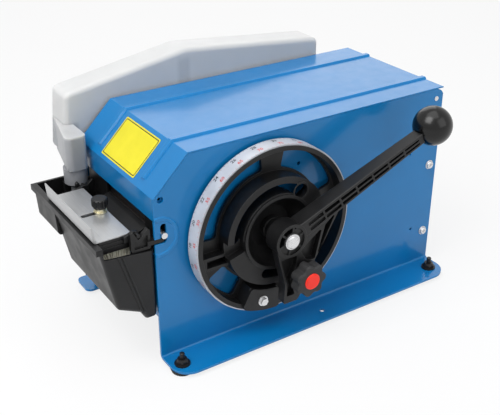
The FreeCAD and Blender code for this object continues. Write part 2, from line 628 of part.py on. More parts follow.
def u_panel(x_face, depth, z0, z1):
    """Upright channel between the side plates; its flanges run along them by depth."""
    x_in = x_face + (PANEL_SHEET if depth > 0 else -PANEL_SHEET)
    face = box(min(x_face, x_in), max(x_face, x_in), INNER_NEAR_Y, INNER_FAR_Y, z0, z1)
    reach = sorted((x_face, x_face + depth))
    flanges = [box(reach[0], reach[1], y, y + PANEL_SHEET, z0, z1)
               for y in (INNER_NEAR_Y, INNER_FAR_Y - PANEL_SHEET)]
    return fuse(face, *flanges)


def back_panel():
    flange_top = HINGE_Z - HINGE_FROM_TOP
    panel = u_panel(BACK_X, -BACK_DEPTH, BACK_BOTTOM_Z, flange_top)
    raised = box(BACK_X - PANEL_SHEET, BACK_X, BACK_SIDE_GAP, CASE_WIDTH - BACK_SIDE_GAP,
                 flange_top, flange_top + BACK_RISE)
    holes = [rod_y(x, z, SCREW_R, -1, CASE_WIDTH + 1) for x, z in PANEL_SCREWS]
    half = FINGER_SLOT_LENGTH / 2
    y0, y1 = CASE_WIDTH / 2 - half, CASE_WIDTH / 2 + half
    z0, z1 = FINGER_SLOT_Z, FINGER_SLOT_Z + FINGER_SLOT_HEIGHT
    corners = [(y0, z0), (y1, z0), (y1, z1), (y0, z1)]
    slot = prism("yz", corners, BACK_X - PANEL_SHEET - 1, BACK_X + 1, FINGER_SLOT_HEIGHT / 2 - 0.1)
    save("back_panel", cut(fuse(panel, raised), slot, *holes))


def front_apron():
    apron = u_panel(APRON_X, PANEL_DEPTH, APRON_BOTTOM_Z, APRON_TOP_Z)
    ledge_z = TRAY_FLOOR_Z - PANEL_SHEET
    ledge = box(APRON_X - LEDGE_REACH, APRON_X, LEDGE_NEAR_Y, LEDGE_FAR_Y, ledge_z, TRAY_FLOOR_Z)
    save("front_apron", fuse(apron, ledge))


def cross_rods():
    """Rods held between the side plates: spacers, pivots, and those of the tape roll's bay."""
    save("spacer_rods", *[rod_y(x, z, SPACER_R, INNER_NEAR_Y, INNER_FAR_Y) for x, z in SPACERS])
    knife = rod_y(KNIFE_PIVOT_X, KNIFE_PIVOT_Z, KNIFE_ROD_R, INNER_NEAR_Y, INNER_FAR_Y)
    save("pivot_rods", knife, rod_y(ARM_PIVOT_X, ARM_PIVOT_Z, ARM_ROD_R, INNER_NEAR_Y, INNER_FAR_Y))
    rods = [(x, CRADLE_Z) for x in CRADLE_XS] + [(x, GUIDE_ROD_Z) for x in GUIDE_XS]
    save("roll_bay_rods", *[rod_y(x, z, GUIDE_ROD_R, INNER_NEAR_Y, INNER_FAR_Y) for x, z in rods])


def pan_screw(x, z):
    """Screw with washer, head outside the dial-side plate."""
    washer = rod_y(x, z, SCREW_WASHER_R, -SCREW_WASHER_T, 0)
    head = rod_y(x, z, SCREW_HEAD_R, -SCREW_WASHER_T - SCREW_HEAD_T, -SCREW_WASHER_T)
    head = chamfered(head, 0.9, lambda b: b.YMax < -SCREW_WASHER_T - SCREW_HEAD_T + 0.01)
    shank = rod_y(x, z, SCREW_R - 0.05, -SCREW_WASHER_T, PLATE + 2.0 + 1.0)
    return fuse(washer, head, shank)


def case_screws():
    near, far = both_sides(lambda: [pan_screw(x, z) for x, z in PANEL_SCREWS])
    save("case_screws", *(near + far))


def cover_hinge_pins():
    """Headed pins in the side plates, which the cover turns on."""
    def maker():
        head = rod_y(HINGE_X, HINGE_Z, HINGE_HEAD_R, -HINGE_HEAD_T, 0)
        pin = rod_y(HINGE_X, HINGE_Z, HINGE_PIN_R, 0, PLATE + FIT_GAP + EAR_SHEET + 1.0)
        return [fuse(head, pin)]
    near, far = both_sides(maker)
    save("cover_hinge_pins", *(near + far))


# ---- feet -----------------------------------------------------------------------------------
def foot_places():
    xs = (FOOT_INSET_X, CASE_LENGTH - FOOT_BACK_INSET)
    return [(x, y) for x in xs for y in (-FOOT_OUT_Y, CASE_WIDTH + FOOT_OUT_Y)]


def feet():
    rubbers, studs, nuts = [], [], []
    for x, y in foot_places():
        pad = Part.makeCone(FOOT_R - 1.5, FOOT_R, FOOT_HEIGHT, V(x, y, FLOOR_Z), PLUS_Z)
        rubbers.append(cut(pad, rod_z(x, y, STUD_R, FLOOR_Z + 2.0, 0)))
        stud = rod_z(x, y, STUD_R, FLOOR_Z + 2.0, STUD_TOP)
        studs.append(chamfered(stud, 0.6, lambda b: b.ZMin > STUD_TOP - 0.1))
        r = FOOT_NUT_ACROSS / math.sqrt(3)
        hexagon = [polar(r, 60 * i, x, y) for i in range(6)]
        nut = prism("xy", hexagon, FOOT_WASHER_T, FOOT_WASHER_T + FOOT_NUT_HEIGHT)
        dome = Part.makeCone(r + 0.6, r - 1.6, FOOT_NUT_HEIGHT, V(x, y, FOOT_WASHER_T), PLUS_Z)
        flange = rod_z(x, y, FOOT_WASHER_R, 0, FOOT_WASHER_T)
        nuts.append(cut(fuse(nut.common(dome), flange), rod_z(x, y, STUD_R + RUN_FIT, -1, 20)))
    save("rubber_feet", *rubbers)
    save("foot_studs", *studs)
    save("foot_nuts", *nuts)


# ---- top cover ------------------------------------------------------------------------------
def bead(middle, half):
    """Bar that follows the sloping front and the top of the cover, its outer edges sloping."""
    low, rise = 2 * COVER_SHEET, BEAD_RISE
    slope = math.radians(SLOPE_DEG)
    x_start, x_end = BEAD_FROM_FRONT, CASE_LENGTH
    start_z = SLOPE_FOOT_Z + x_start * math.tan(slope)
    bend_out = rise * math.tan(slope / 2)
    bend_in = low * math.tan(slope / 2)
    normal = (-math.sin(slope), math.cos(slope))
    top = CASE_HEIGHT + rise
    section = [(x_start + normal[0] * rise, start_z + normal[1] * rise), (RIDGE_X - bend_out, top),
               (x_end, top), (x_end, CASE_HEIGHT - low), (RIDGE_X + bend_in, CASE_HEIGHT - low),
               (x_start - normal[0] * low, start_z - normal[1] * low)]
    block = prism("xz", section, middle - half, middle + half)

    def outer_edge(b):
        on_top = b.ZMin > top - 0.01
        on_slope = b.XMax < RIDGE_X and b.ZLength > 10 and b.XMin < x_start - 0.1
        return b.YLength < 1e-6 and (on_top or on_slope)
    return chamfered(block, BEAD_EDGE, outer_edge)


def cover_shell():
    outer = case_profile(0)
    inner = case_profile(COVER_SHEET)
    skin = prism("xz", [(0, LIP_BOTTOM_Z), (CASE_LENGTH, LIP_BOTTOM_Z)] + outer[2:], 0, CASE_WIDTH,
                 [0, 0, COVER_BACK_R, 0, 0])
    hollow = prism("xz", [(-1, 0), (CASE_LENGTH + 1, 0), (CASE_LENGTH + 1, inner[2][1]), inner[3],
                          (-1, inner[4][1] - math.tan(math.radians(SLOPE_DEG)))], -1, CASE_WIDTH + 1)
    beads = [cut(bead(y, BEAD_WIDTH / 2), hollow) for y in BEAD_YS]
    flat = box(RIDGE_X, CASE_LENGTH + 1, 0, CASE_WIDTH, 0, CASE_HEIGHT + BEAD_RISE)
    pressed = []
    for y in BEAD_YS:
        under = bead(y, BEAD_WIDTH / 2 - COVER_SHEET)
        under.translate(V(0, 0, -COVER_SHEET))
        pressed.append(under.common(flat))
    return cut(fuse(cut(skin, hollow), *beads), *pressed)


def cover_lip():
    """Front lip between the side plates, notched beside the bottle's neck."""
    near, far = INNER_NEAR_Y + FIT_GAP, INNER_FAR_Y - FIT_GAP
    top = SLOPE_FOOT_Z + 1.0
    shape = [(near, top), (near, LIP_BOTTOM_Z), (far - 8.0, LIP_BOTTOM_Z), (far, SLOPE_FOOT_Z - 4.0),
             (far, top)]
    lip = prism("yz", shape, 0, COVER_SHEET, [0, 2, 4, 2, 0])
    ramp = prism("xz", [(-1, SLOPE_FOOT_Z - 1), (COVER_SHEET + 1, SLOPE_FOOT_Z + COVER_SHEET + 1),
                        (COVER_SHEET + 1, SLOPE_FOOT_Z + 9), (-1, SLOPE_FOOT_Z + 9)], -1, CASE_WIDTH + 1)
    return cut(lip, ramp)


def cover_ears():
    """Ears inside the cover: hinge ears at the back, latch ears at the front."""
    def maker():
        y0 = INNER_NEAR_Y + FIT_GAP
        y1 = y0 + EAR_SHEET
        top = COVER_INNER_Z + 0.5
        hinge = prism("xz", [(HINGE_X - 30, top), (HINGE_X - 12, HINGE_Z - 5), (HINGE_X + 4.2, HINGE_Z - 5),
                             (HINGE_X + 4.2, top)], y0, y1, [0, 4, 4, 0])
        hinge = cut(hinge, rod_y(HINGE_X, HINGE_Z, HINGE_PIN_R + RUN_FIT, y0 - 1, y1 + 1))
        rise = math.tan(math.radians(SLOPE_DEG))
        foot = SLOPE_FOOT_Z - 0.6 * COVER_SHEET
        corners = [(0.6, LATCH_Z - 7), (16, LATCH_Z - 7), (24, foot + 24 * rise), (0.6, foot + 0.6 * rise)]
        latch = prism("xz", corners, y0, y1, [1, 3, 0, 0])
        return [hinge, cut(latch, rod_y(LATCH_X, LATCH_Z, 1.6, y0 - 1, y1 + 1))]
    near, far = both_sides(maker)
    return near + far


def top_cover():
    save("top_cover", fuse(cover_shell(), cover_lip(), *cover_ears()))


# ---- main shaft, bushes, dial ---------------------------------------------------------------
def shaft_bushes():
    """Flanged bushes: two through the plates, the others on the plates' inner faces."""
    def maker():
        body = rod_y(SHAFT_X, SHAFT_Z, SHAFT_R + BUSH_WALL, 0, PLATE)
        flange = rod_y(SHAFT_X, SHAFT_Z, BUSH_FLANGE_R, PLATE, PLATE + BUSH_FLANGE_T)
        out = [cut(fuse(body, flange), rod_y(SHAFT_X, SHAFT_Z, SHAFT_R + RUN_FIT, -1, PLATE + 5))]
        for x, z in ((FEED_X, FEED_Z), (COUNTER_X, COUNTER_Z)):
            body = rod_y(x, z, SMALL_SHAFT_R + BUSH_WALL, PLATE, PLATE + SMALL_BUSH_LENGTH)
            flange = rod_y(x, z, SMALL_SHAFT_R + BUSH_WALL + 3.0, PLATE, PLATE + BUSH_FLANGE_T)
            out.append(cut(fuse(body, flange), rod_y(x, z, SMALL_SHAFT_R + RUN_FIT, PLATE - 1, PLATE + 9)))
        return out
    near, far = both_sides(maker)
    save("shaft_bushes", *(near + far))


def main_shaft():
    front = BOSS_FRONT_Y - SHAFT_NOSE
    shaft = rod_y(SHAFT_X, SHAFT_Z, SHAFT_R, BOSS_BACK_Y, CASE_WIDTH + 6.0)
    nose = rod_y(SHAFT_X, SHAFT_Z, SHAFT_R - 1.5, front, BOSS_BACK_Y)
    nose = chamfered(nose, 0.8, lambda b: b.YMax < front + 0.1)
    save("main_shaft", fuse(shaft, nose))
    washer = tube_y(SHAFT_X, SHAFT_Z, SHAFT_R - 1.5, WASHER_R, BOSS_FRONT_Y - WASHER_T, BOSS_FRONT_Y)
    collar = tube_y(SHAFT_X, SHAFT_Z, SHAFT_R, SHAFT_R + 5, CASE_WIDTH + FIT_GAP, CASE_WIDTH + 5.5)
    save("shaft_retainers", washer, collar)


def hub_profile():
    """Section of the hub drum: radius and y, from the bore outwards."""
    back, front = WHEEL_BACK_Y, HUB_FRONT_Y
    rim_front = front - DISH_RIM_RISE
    rim_in = DISH_RIM_R - DISH_RIM_WALL
    bore = SHAFT_R + RUN_FIT
    floor = back - DISH_FLOOR_T
    points = [(bore, back), (HUB_R, back), (HUB_R, front), (DISH_RIM_R, front), (DISH_RIM_R, rim_front),
              (rim_in, rim_front), (rim_in - 1.5, front + 2.0)]
    bowl = Part.Arc(V(rim_in - 1.5, front + 2.0, 0), V(DISH_FLOOR_R + 6.0, floor - 4.5, 0),
                    V(DISH_FLOOR_R, floor, 0))
    return points, bowl, [(DISH_FLOOR_R, floor), (bore, floor), (bore, back)]


def hub_drum():
    points, bowl, tail = hub_profile()
    first = [V(r, y, 0) for r, y in points]
    last = [V(r, y, 0) for r, y in tail]
    edges = [Part.makeLine(a, b) for a, b in zip(first, first[1:])]
    edges.append(bowl.toShape())
    edges += [Part.makeLine(a, b) for a, b in zip(last, last[1:])]
    drum = Part.Face(Part.Wire(edges)).revolve(V(0, 0, 0), PLUS_Y, 360)
    drum.translate(V(SHAFT_X, 0, SHAFT_Z))
    return drum


def measuring_wheel():
    back, front = WHEEL_BACK_Y, WHEEL_FRONT_Y
    rim_out = WHEEL_R - BAND_T
    rim = tube_y(SHAFT_X, SHAFT_Z, rim_out - RIM_WALL, rim_out, front, back)
    web = tube_y(SHAFT_X, SHAFT_Z, HUB_R - 1, rim_out - 1, back - WEB_T, back)
    windows = [sector(WINDOW_INNER_R, WINDOW_OUTER_R, a, b, front, back + 1, 4.0) for a, b in WINDOWS]
    rib_front, rib_z = back - WEB_T - RIB_RISE, SHAFT_Z - RIB_DROP
    rib_out = math.sqrt((rim_out - RIM_WALL) ** 2 - RIB_DROP ** 2)
    rib_in = math.sqrt(HUB_R ** 2 - RIB_DROP ** 2) - RIB_WIDTH / 4
    rib = box(SHAFT_X - rib_out, SHAFT_X - rib_in, rib_front, back - WEB_T + 0.5,
              rib_z - RIB_WIDTH / 2, rib_z + RIB_WIDTH / 2)
    pocket = box(SHAFT_X - rib_out + RIB_WIDTH / 3, SHAFT_X - rib_in + 1, rib_front - 1, back - WEB_T,
                 rib_z - RIB_WIDTH / 2 + RIB_WALL, rib_z + RIB_WIDTH / 2 - RIB_WALL)
    rib = cut(rib, pocket).common(rod_y(SHAFT_X, SHAFT_Z, rim_out - 1, front, back))
    slots = [arc_slot(SLOT_INNER_R, SLOT_OUTER_R, a, b, HUB_FRONT_Y - 1, back + 1)
             for a, b in (SETTING_SLOT, CLAMP_SLOT)]
    notch = sector(DISH_RIM_R, HUB_R + 1, *HUB_NOTCH, HUB_FRONT_Y - 1, HUB_FRONT_Y + HUB_NOTCH_DEPTH)
    shoe_room = sector(SLOT_INNER_R - 3.0, SLOT_OUTER_R + 3.0, CLAMP_SLOT[0] - 12, CLAMP_SLOT[1] + 12,
                       back - SHOE_ROOM, back + 1)
    eye = polar((SLOT_INNER_R + SLOT_OUTER_R) / 2, SLOT_EYE_DEG)
    eye_front = HUB_FRONT_Y - SLOT_EYE_RISE
    collar = rod_y(*eye, SLOT_EYE_R + SLOT_EYE_WALL, eye_front, HUB_FRONT_Y + 1)
    hole = rod_y(*eye, SLOT_EYE_R, eye_front - 1, HUB_FRONT_Y + EYE_FACE_T + 1)
    relief = sector(SLOT_INNER_R - 1.5, HUB_R - 3.0, *EYE_RELIEF, HUB_FRONT_Y + EYE_FACE_T, back + 1)
    wheel = fuse(cut(web, *windows), rim, rib, hub_drum(), collar)
    save("measuring_wheel", cut(wheel, notch, shoe_room, hole, relief, *slots))


def scale_band():
    y0, y1 = WHEEL_FRONT_Y + 0.8, WHEEL_BACK_Y - 0.4
    save("scale_band", tube_y(SHAFT_X, SHAFT_Z, WHEEL_R - BAND_T, WHEEL_R, y0, y1))


def stop_block():
    start, end = STOP_ARC
    rim_in = WHEEL_R - BAND_T - RIM_WALL
    front = WHEEL_FRONT_Y - STOP_RISE
    block = sector(STOP_INNER_R, WHEEL_R - BAND_T, start, end, front, WHEEL_FRONT_Y, STOP_CORNER_R)
    foot = sector(STOP_INNER_R, rim_in, start, end, WHEEL_FRONT_Y, WHEEL_BACK_Y - WEB_T)
    middle = polar((STOP_INNER_R + WHEEL_R) / 2, (start + end) / 2)
    hole = rod_y(*middle, STOP_HOLE_R, front - 1, WHEEL_FRONT_Y - 1)
    save("stop_block", cut(fuse(block, foot), hole))
    washer = rod_y(*middle, STOP_SCREW_R, front - STOP_WASHER_T, front)
    hexagon = [polar(STOP_HEAD_R, 60 * i, *middle) for i in range(6)]
    under_head = front - STOP_WASHER_T
    head = prism("xz", hexagon, under_head - STOP_HEAD_T, under_head)
    shank = rod_y(*middle, STOP_HOLE_R - RUN_FIT, front, WHEEL_FRONT_Y - 1.2)
    save("stop_screw", fuse(washer, head, shank))


# ---- lever ----------------------------------------------------------------------------------
def arm_section(along, depth, y_range):
    """Rectangle across the arm at a distance from the shaft, drawn for an arm along +X."""
    y0, y1 = y_range
    corners = [(y0, -depth / 2), (y1, -depth / 2), (y1, depth / 2), (y0, depth / 2)]
    return outline("yz", corners, along, 1.2)


def lever_arm_blank():
    hub = arm_section(ARM_START, ARM_HUB_DEPTH, ARM_HUB_Y)
    tip = arm_section(ARM_END, ARM_TIP_DEPTH, ARM_TIP_Y)
    return Part.makeLoft([hub, tip], True, True)


def arm_pockets():
    """Recesses in the near face, either side of the middle rib, between the cross ribs."""
    start, tip = BOSS_R + 4.0, LEVER_LENGTH - BALL_R - 3.0
    bay = (tip - start) / ARM_BAYS
    pockets = []
    for i in range(ARM_BAYS):
        x0, x1 = start + bay * i + 1.0, start + bay * (i + 1) - 1.0
        shares = [(x - ARM_START) / (ARM_END - ARM_START) for x in (x0, x1)]
        face = [ARM_HUB_Y[0] + (ARM_TIP_Y[0] - ARM_HUB_Y[0]) * s for s in shares]
        half = [(ARM_HUB_DEPTH + (ARM_TIP_DEPTH - ARM_HUB_DEPTH) * s) / 2 - ARM_WALL for s in shares]
        deep = max(face) + ARM_POCKET
        for side in (1, -1):
            edge = [(x0, side * 0.9), (x1, side * 0.9), (x1, side * half[1]), (x0, side * half[0])]
            shape = edge if side > 0 else edge[::-1]
            pockets.append(prism("xz", shape, min(face) - 1.0, deep))
    return pockets


def at_shaft(shape, degrees):
    """Shape drawn about the origin's Y axis along +X, moved onto the shaft and turned."""
    shape.translate(V(SHAFT_X, 0, SHAFT_Z))
    return turned(shape, degrees)


def tail_plate():
    """Web below the boss: it carries the clamp boss and ends in the stop tail."""
    y0, y1 = TAIL_Y
    cx, cz = CLAMP_X, CLAMP_Z
    edge = [(SHAFT_X - 15.5, SHAFT_Z - 8), (SHAFT_X - 5.5, SHAFT_Z - 48), (SHAFT_X - 7, SHAFT_Z - 70),
            (SHAFT_X + 9, SHAFT_Z - 70), (cx + 10.5, cz - 6), (cx + 12, cz + 8), (SHAFT_X + 60, SHAFT_Z + 22),
            (SHAFT_X + 8, SHAFT_Z + 14)]
    return prism("xz", edge, y0, y1, [4, 8, 2, 3, 6, 14, 2, 2])


def tail_pockets():
    """Recesses between the ribs of the tail plate, thin rims left round them."""
    y0 = TAIL_Y[0] - 1.0
    y1 = TAIL_Y[0] + 6.5
    cx, cz = CLAMP_X, CLAMP_Z
    brace = [(SHAFT_X + 19.5, SHAFT_Z - 9), (SHAFT_X + 37, SHAFT_Z + 3.5), (cx + 14, cz + 13),
             (cx + 4, cz + 15), (SHAFT_X + 12, SHAFT_Z - 15.5)]
    side = [(SHAFT_X + 40.5, SHAFT_Z + 5.5), (SHAFT_X + 53, SHAFT_Z + 15.5), (cx + 14.5, cz + 9.5)]
    blade = [(SHAFT_X - 11, SHAFT_Z - 19), (SHAFT_X + 8, SHAFT_Z - 19), (cx - 8, cz + 12.5),
             (cx - 14.5, cz - 2), (SHAFT_X + 6, SHAFT_Z - 62), (SHAFT_X - 3.5, SHAFT_Z - 62),
             (SHAFT_X - 3, SHAFT_Z - 48)]
    return [prism("xz", shape, y0, y1, r) for shape, r in ((brace, 1.5), (side, 1.0), (blade, 1.0))]


def lever_arm():
    boss = rod_y(SHAFT_X, SHAFT_Z, BOSS_R, BOSS_FRONT_Y, BOSS_BACK_Y)
    recess = tube_y(SHAFT_X, SHAFT_Z, WASHER_R + 1.0, BOSS_R - BOSS_RIM, BOSS_FRONT_Y - 1, BOSS_FRONT_Y + 6.0)
    spokes = [turned(box(SHAFT_X + WASHER_R, SHAFT_X + BOSS_R - 1, BOSS_FRONT_Y + 0.8, BOSS_FRONT_Y + 7,
                         SHAFT_Z - 1.0, SHAFT_Z + 1.0), a) for a in range(20, 380, 60)]
    arm = at_shaft(lever_arm_blank(), LEVER_ANGLE)
    pockets = [at_shaft(p, LEVER_ANGLE) for p in arm_pockets()]
    clamp_boss = rod_y(CLAMP_X, CLAMP_Z, CLAMP_BOSS_R, CLAMP_BOSS_FRONT_Y, TAIL_Y[1] + 6.0)
    web = cut(tail_plate(), *tail_pockets())
    arm = cut(arm, rod_y(SHAFT_X, SHAFT_Z, BOSS_R - 0.5, -80, 0), *pockets)
    body = fuse(cut(boss, recess), *spokes, arm, web, clamp_boss)
    bores = [rod_y(SHAFT_X, SHAFT_Z, SHAFT_R - 1.5, BOSS_FRONT_Y - 1, BOSS_BACK_Y + 1),
             rod_y(CLAMP_X, CLAMP_Z, CLAMP_BOLT_R, CLAMP_BOSS_FRONT_Y - 1, TAIL_Y[1] + 7)]
    save("lever_arm", cut(body, Part.makeSphere(BALL_R, ball_centre()), *bores))


def ball_centre():
    x, z = polar(LEVER_LENGTH, LEVER_ANGLE)
    return V(x, BALL_Y, z)


def ball_knob():
    save("ball_knob", Part.makeSphere(BALL_R, ball_centre()))


# ---- length clamp ---------------------------------------------------------------------------
def clamp_bolt():
    front = WHEEL_BACK_Y - SHOE_ROOM + FIT_GAP
    bolt = rod_y(CLAMP_X, CLAMP_Z, CLAMP_BOLT_R - RUN_FIT, BOLT_FRONT_Y, front + 1.0)
    shoe = sector(SLOT_INNER_R - 2.0, SLOT_OUTER_R + 2.0, CLAMP_ANGLE - 9, CLAMP_ANGLE + 9,
                  front, front + CLAMP_SHOE_T)
    save("clamp_bolt", fuse(bolt, shoe))


def star_knob():
    y1 = KNOB_BACK_Y - KNOB_SKIRT_DEPTH
    y0 = KNOB_FRONT_Y
    half_step = 180.0 / KNOB_LOBES
    corners = [polar(KNOB_VALLEY_R if i % 2 else KNOB_R, half_step * i, CLAMP_X, CLAMP_Z)
               for i in range(2 * KNOB_LOBES)]
    star = prism("xz", corners, y0, y1, [KNOB_LOBE_R, KNOB_VALLEY_ROUND] * KNOB_LOBES)
    star = chamfered(star, 1.4, lambda b: b.YLength < 1e-3 and b.YMin < y0 + 0.01)
    skirt = Part.makeCone(KNOB_SKIRT_R, KNOB_SKIRT_R + 1.5, KNOB_SKIRT_DEPTH,
                          V(CLAMP_X, KNOB_BACK_Y, CLAMP_Z), PLUS_Y * -1)
    seat = rod_y(CLAMP_X, CLAMP_Z, CAP_R, y0 - 1, y0 + CAP_SEAT)
    bore = rod_y(CLAMP_X, CLAMP_Z, CLAMP_BOLT_R + RUN_FIT - 0.02, BOLT_FRONT_Y - 0.4, KNOB_BACK_Y + 1)
    save("star_knob", cut(fuse(star, skirt), seat, bore))
    cap = rod_y(CLAMP_X, CLAMP_Z, CAP_R, y0 - CAP_RISE, y0 + CAP_SEAT)
    cap = chamfered(cap, 1.0, lambda b: b.YMax < y0 - CAP_RISE + 0.01)
    save("knob_cap", cap)


# ---- gear train -----------------------------------------------------------------------------
def cam_pin_path(lift):
    """Place of the knife's cam pin when the knife has turned by lift degrees."""
    reach = KNIFE_PIVOT_X - CAM_PIN_X
    a = math.radians(lift)
    return (KNIFE_PIVOT_X - reach * math.cos(a), KNIFE_PIVOT_Z + reach * math.sin(a))


def cam_slot(y0, y1):
    """Spiral slot in the main gear that lifts the knife as the lever swings."""
    half = CAM_PIN_R + 0.6
    inner, outer, ends = [], [], []
    steps = 8
    for i in range(steps + 1):
        share = (i - 0.3) / (steps - 0.6)
        x, z = cam_pin_path(KNIFE_STROKE_DEG * share)
        radius = math.hypot(x - SHAFT_X, z - SHAFT_Z)
        angle = direction(SHAFT_X, SHAFT_Z, x, z) - LEVER_SWING_DEG * share
        inner.append(V(polar(radius - half, angle)[0], y0, polar(radius - half, angle)[1]))
        outer.append(V(polar(radius + half, angle)[0], y0, polar(radius + half, angle)[1]))
        ends.append(polar(radius, angle))
    curves = []
    for points in (inner, outer):
        curve = Part.BSplineCurve()
        curve.interpolate(points)
        curves.append(curve.toShape())
    wire = Part.Wire(Part.__sortEdges__([curves[0], Part.makeLine(inner[-1], outer[-1]), curves[1],
                                         Part.makeLine(outer[0], inner[0])]))
    slot = Part.Face(wire).extrude(V(0, y1 - y0, 0))
    return fuse(slot, *[rod_y(*ends[i], half, y0, y1) for i in (0, -1)])


def drive_gear():
    y0, y1 = MAIN_GEAR_Y, MAIN_GEAR_Y + GEAR_T
    mesh = direction(SHAFT_X, SHAFT_Z, COUNTER_X, COUNTER_Z)
    body = gear(MAIN_TEETH, GEAR_T, SHAFT_R, y0, SHAFT_X, SHAFT_Z, mesh)
    hub = tube_y(SHAFT_X, SHAFT_Z, SHAFT_R, SHAFT_R + 7, y0 - 7, y0)
    holes = [rod_y(*polar(33.0, a), 9.0, y0 - 1, y1 + 1) for a in (-140, -80, -20)]
    save("drive_gear", cut(fuse(body, hub), cam_slot(y0 - 1, y1 + 1), *holes))


def cross_shaft(x, z):
    """Plain shaft that turns in two of the small bushes."""
    return rod_y(x, z, SMALL_SHAFT_R, INNER_NEAR_Y + FIT_GAP, INNER_FAR_Y - FIT_GAP)


def countershaft():
    y_p, y_g = MAIN_GEAR_Y - 0.5, COUNTER_GEAR_Y
    save("countershaft", cross_shaft(COUNTER_X, COUNTER_Z))
    to_main = direction(COUNTER_X, COUNTER_Z, SHAFT_X, SHAFT_Z)
    pinion = gear(COUNTER_PINION_TEETH, GEAR_T + 1.0, SMALL_SHAFT_R, y_p, COUNTER_X, COUNTER_Z,
                  to_main + 180.0 / COUNTER_PINION_TEETH)
    save("counter_pinion", pinion)
    to_feed = direction(COUNTER_X, COUNTER_Z, FEED_X, FEED_Z)
    wheel = gear(COUNTER_TEETH, GEAR_T, SMALL_SHAFT_R, y_g, COUNTER_X, COUNTER_Z, to_feed)
    centres = [polar(24.0, a, COUNTER_X, COUNTER_Z) for a in range(0, 360, 72)]
    holes = [rod_y(x, z, 7.5, y_g - 1, y_g + GEAR_T + 1) for x, z in centres]
    save("counter_gear", cut(wheel, *holes))


def feed_roller():
    near, far = TAPE_NEAR_Y, TAPE_FAR_Y
    save("feed_shaft", cross_shaft(FEED_X, FEED_Z))
    core = tube_y(FEED_X, FEED_Z, SMALL_SHAFT_R, FEED_CORE_R, near, far)
    save("feed_roller_core", core)
    grooves = [tube_y(FEED_X, FEED_Z, FEED_ROLLER_R - 1.0, FEED_ROLLER_R + 1, y - 1.2, y + 1.2)
               for y in (near + 20, near + 40, near + 60)]
    save("feed_roller_sleeve", cut(tube_y(FEED_X, FEED_Z, FEED_CORE_R, FEED_ROLLER_R, near, far), *grooves))
    y1 = COUNTER_GEAR_Y - 3.0
    y0 = y1 - CLUTCH_LENGTH
    flat = box(FEED_X + CLUTCH_R - 1.2, FEED_X + CLUTCH_R + 1, y0 - 1, (y0 + y1) / 2, FEED_Z - 8, FEED_Z + 8)
    flats = [turned(flat, a, FEED_X, FEED_Z) for a in (0, 90, 180, 270)]
    save("one_way_clutch", cut(tube_y(FEED_X, FEED_Z, SMALL_SHAFT_R, CLUTCH_R, y0, y1), *flats))
    to_counter = direction(FEED_X, FEED_Z, COUNTER_X, COUNTER_Z)
    pinion = gear(FEED_PINION_TEETH, GEAR_T + 1.0, SMALL_SHAFT_R, COUNTER_GEAR_Y - 0.5, FEED_X, FEED_Z,
                  to_counter + 180.0 / FEED_PINION_TEETH)
    save("feed_pinion", pinion)


# ---- pressure roller on its swing arms ------------------------------------------------------
def arm_link(x0, z0, x1, z1, half, y0, y1):
    """Flat link with round ends between two axes along Y."""
    length = math.hypot(x1 - x0, z1 - z0)
    bar = turned(box(x0, x0 + length, y0, y1, z0 - half, z0 + half), direction(x0, z0, x1, z1), x0, z0)
    return fuse(bar, rod_y(x0, z0, half, y0, y1), rod_y(x1, z1, half, y0, y1))


def pressure_roller():
    near, far = TAPE_NEAR_Y + 2, TAPE_FAR_Y - 2
    outer_near, outer_far = near - 2 - PRESS_ARM_T, far + 2
    links = []
    for y in (outer_near, outer_far):
        link = arm_link(ARM_PIVOT_X, ARM_PIVOT_Z, PRESS_X, PRESS_Z, PRESS_ARM_HALF, y, y + PRESS_ARM_T)
        ends = ((ARM_PIVOT_X, ARM_PIVOT_Z, ARM_ROD_R), (PRESS_X, PRESS_Z, PRESS_SHAFT_R))
        links.append(cut(link, *[rod_y(x, z, r + RUN_FIT, y - 1, y + PRESS_ARM_T + 1) for x, z, r in ends]))
    middle = ((ARM_PIVOT_X + PRESS_X) / 2 + 4, (ARM_PIVOT_Z + PRESS_Z) / 2 + 3)
    tie = rod_y(*middle, 3.0, outer_near + PRESS_ARM_T, outer_far)
    save("pressure_arms", fuse(links[0], tie, links[1]))
    axle = rod_y(PRESS_X, PRESS_Z, PRESS_SHAFT_R, outer_near - 1.5, outer_far + PRESS_ARM_T + 1.5)
    save("pressure_axle", axle)
    save("pressure_roller", tube_y(PRESS_X, PRESS_Z, PRESS_SHAFT_R + RUN_FIT, PRESS_R, near, far))


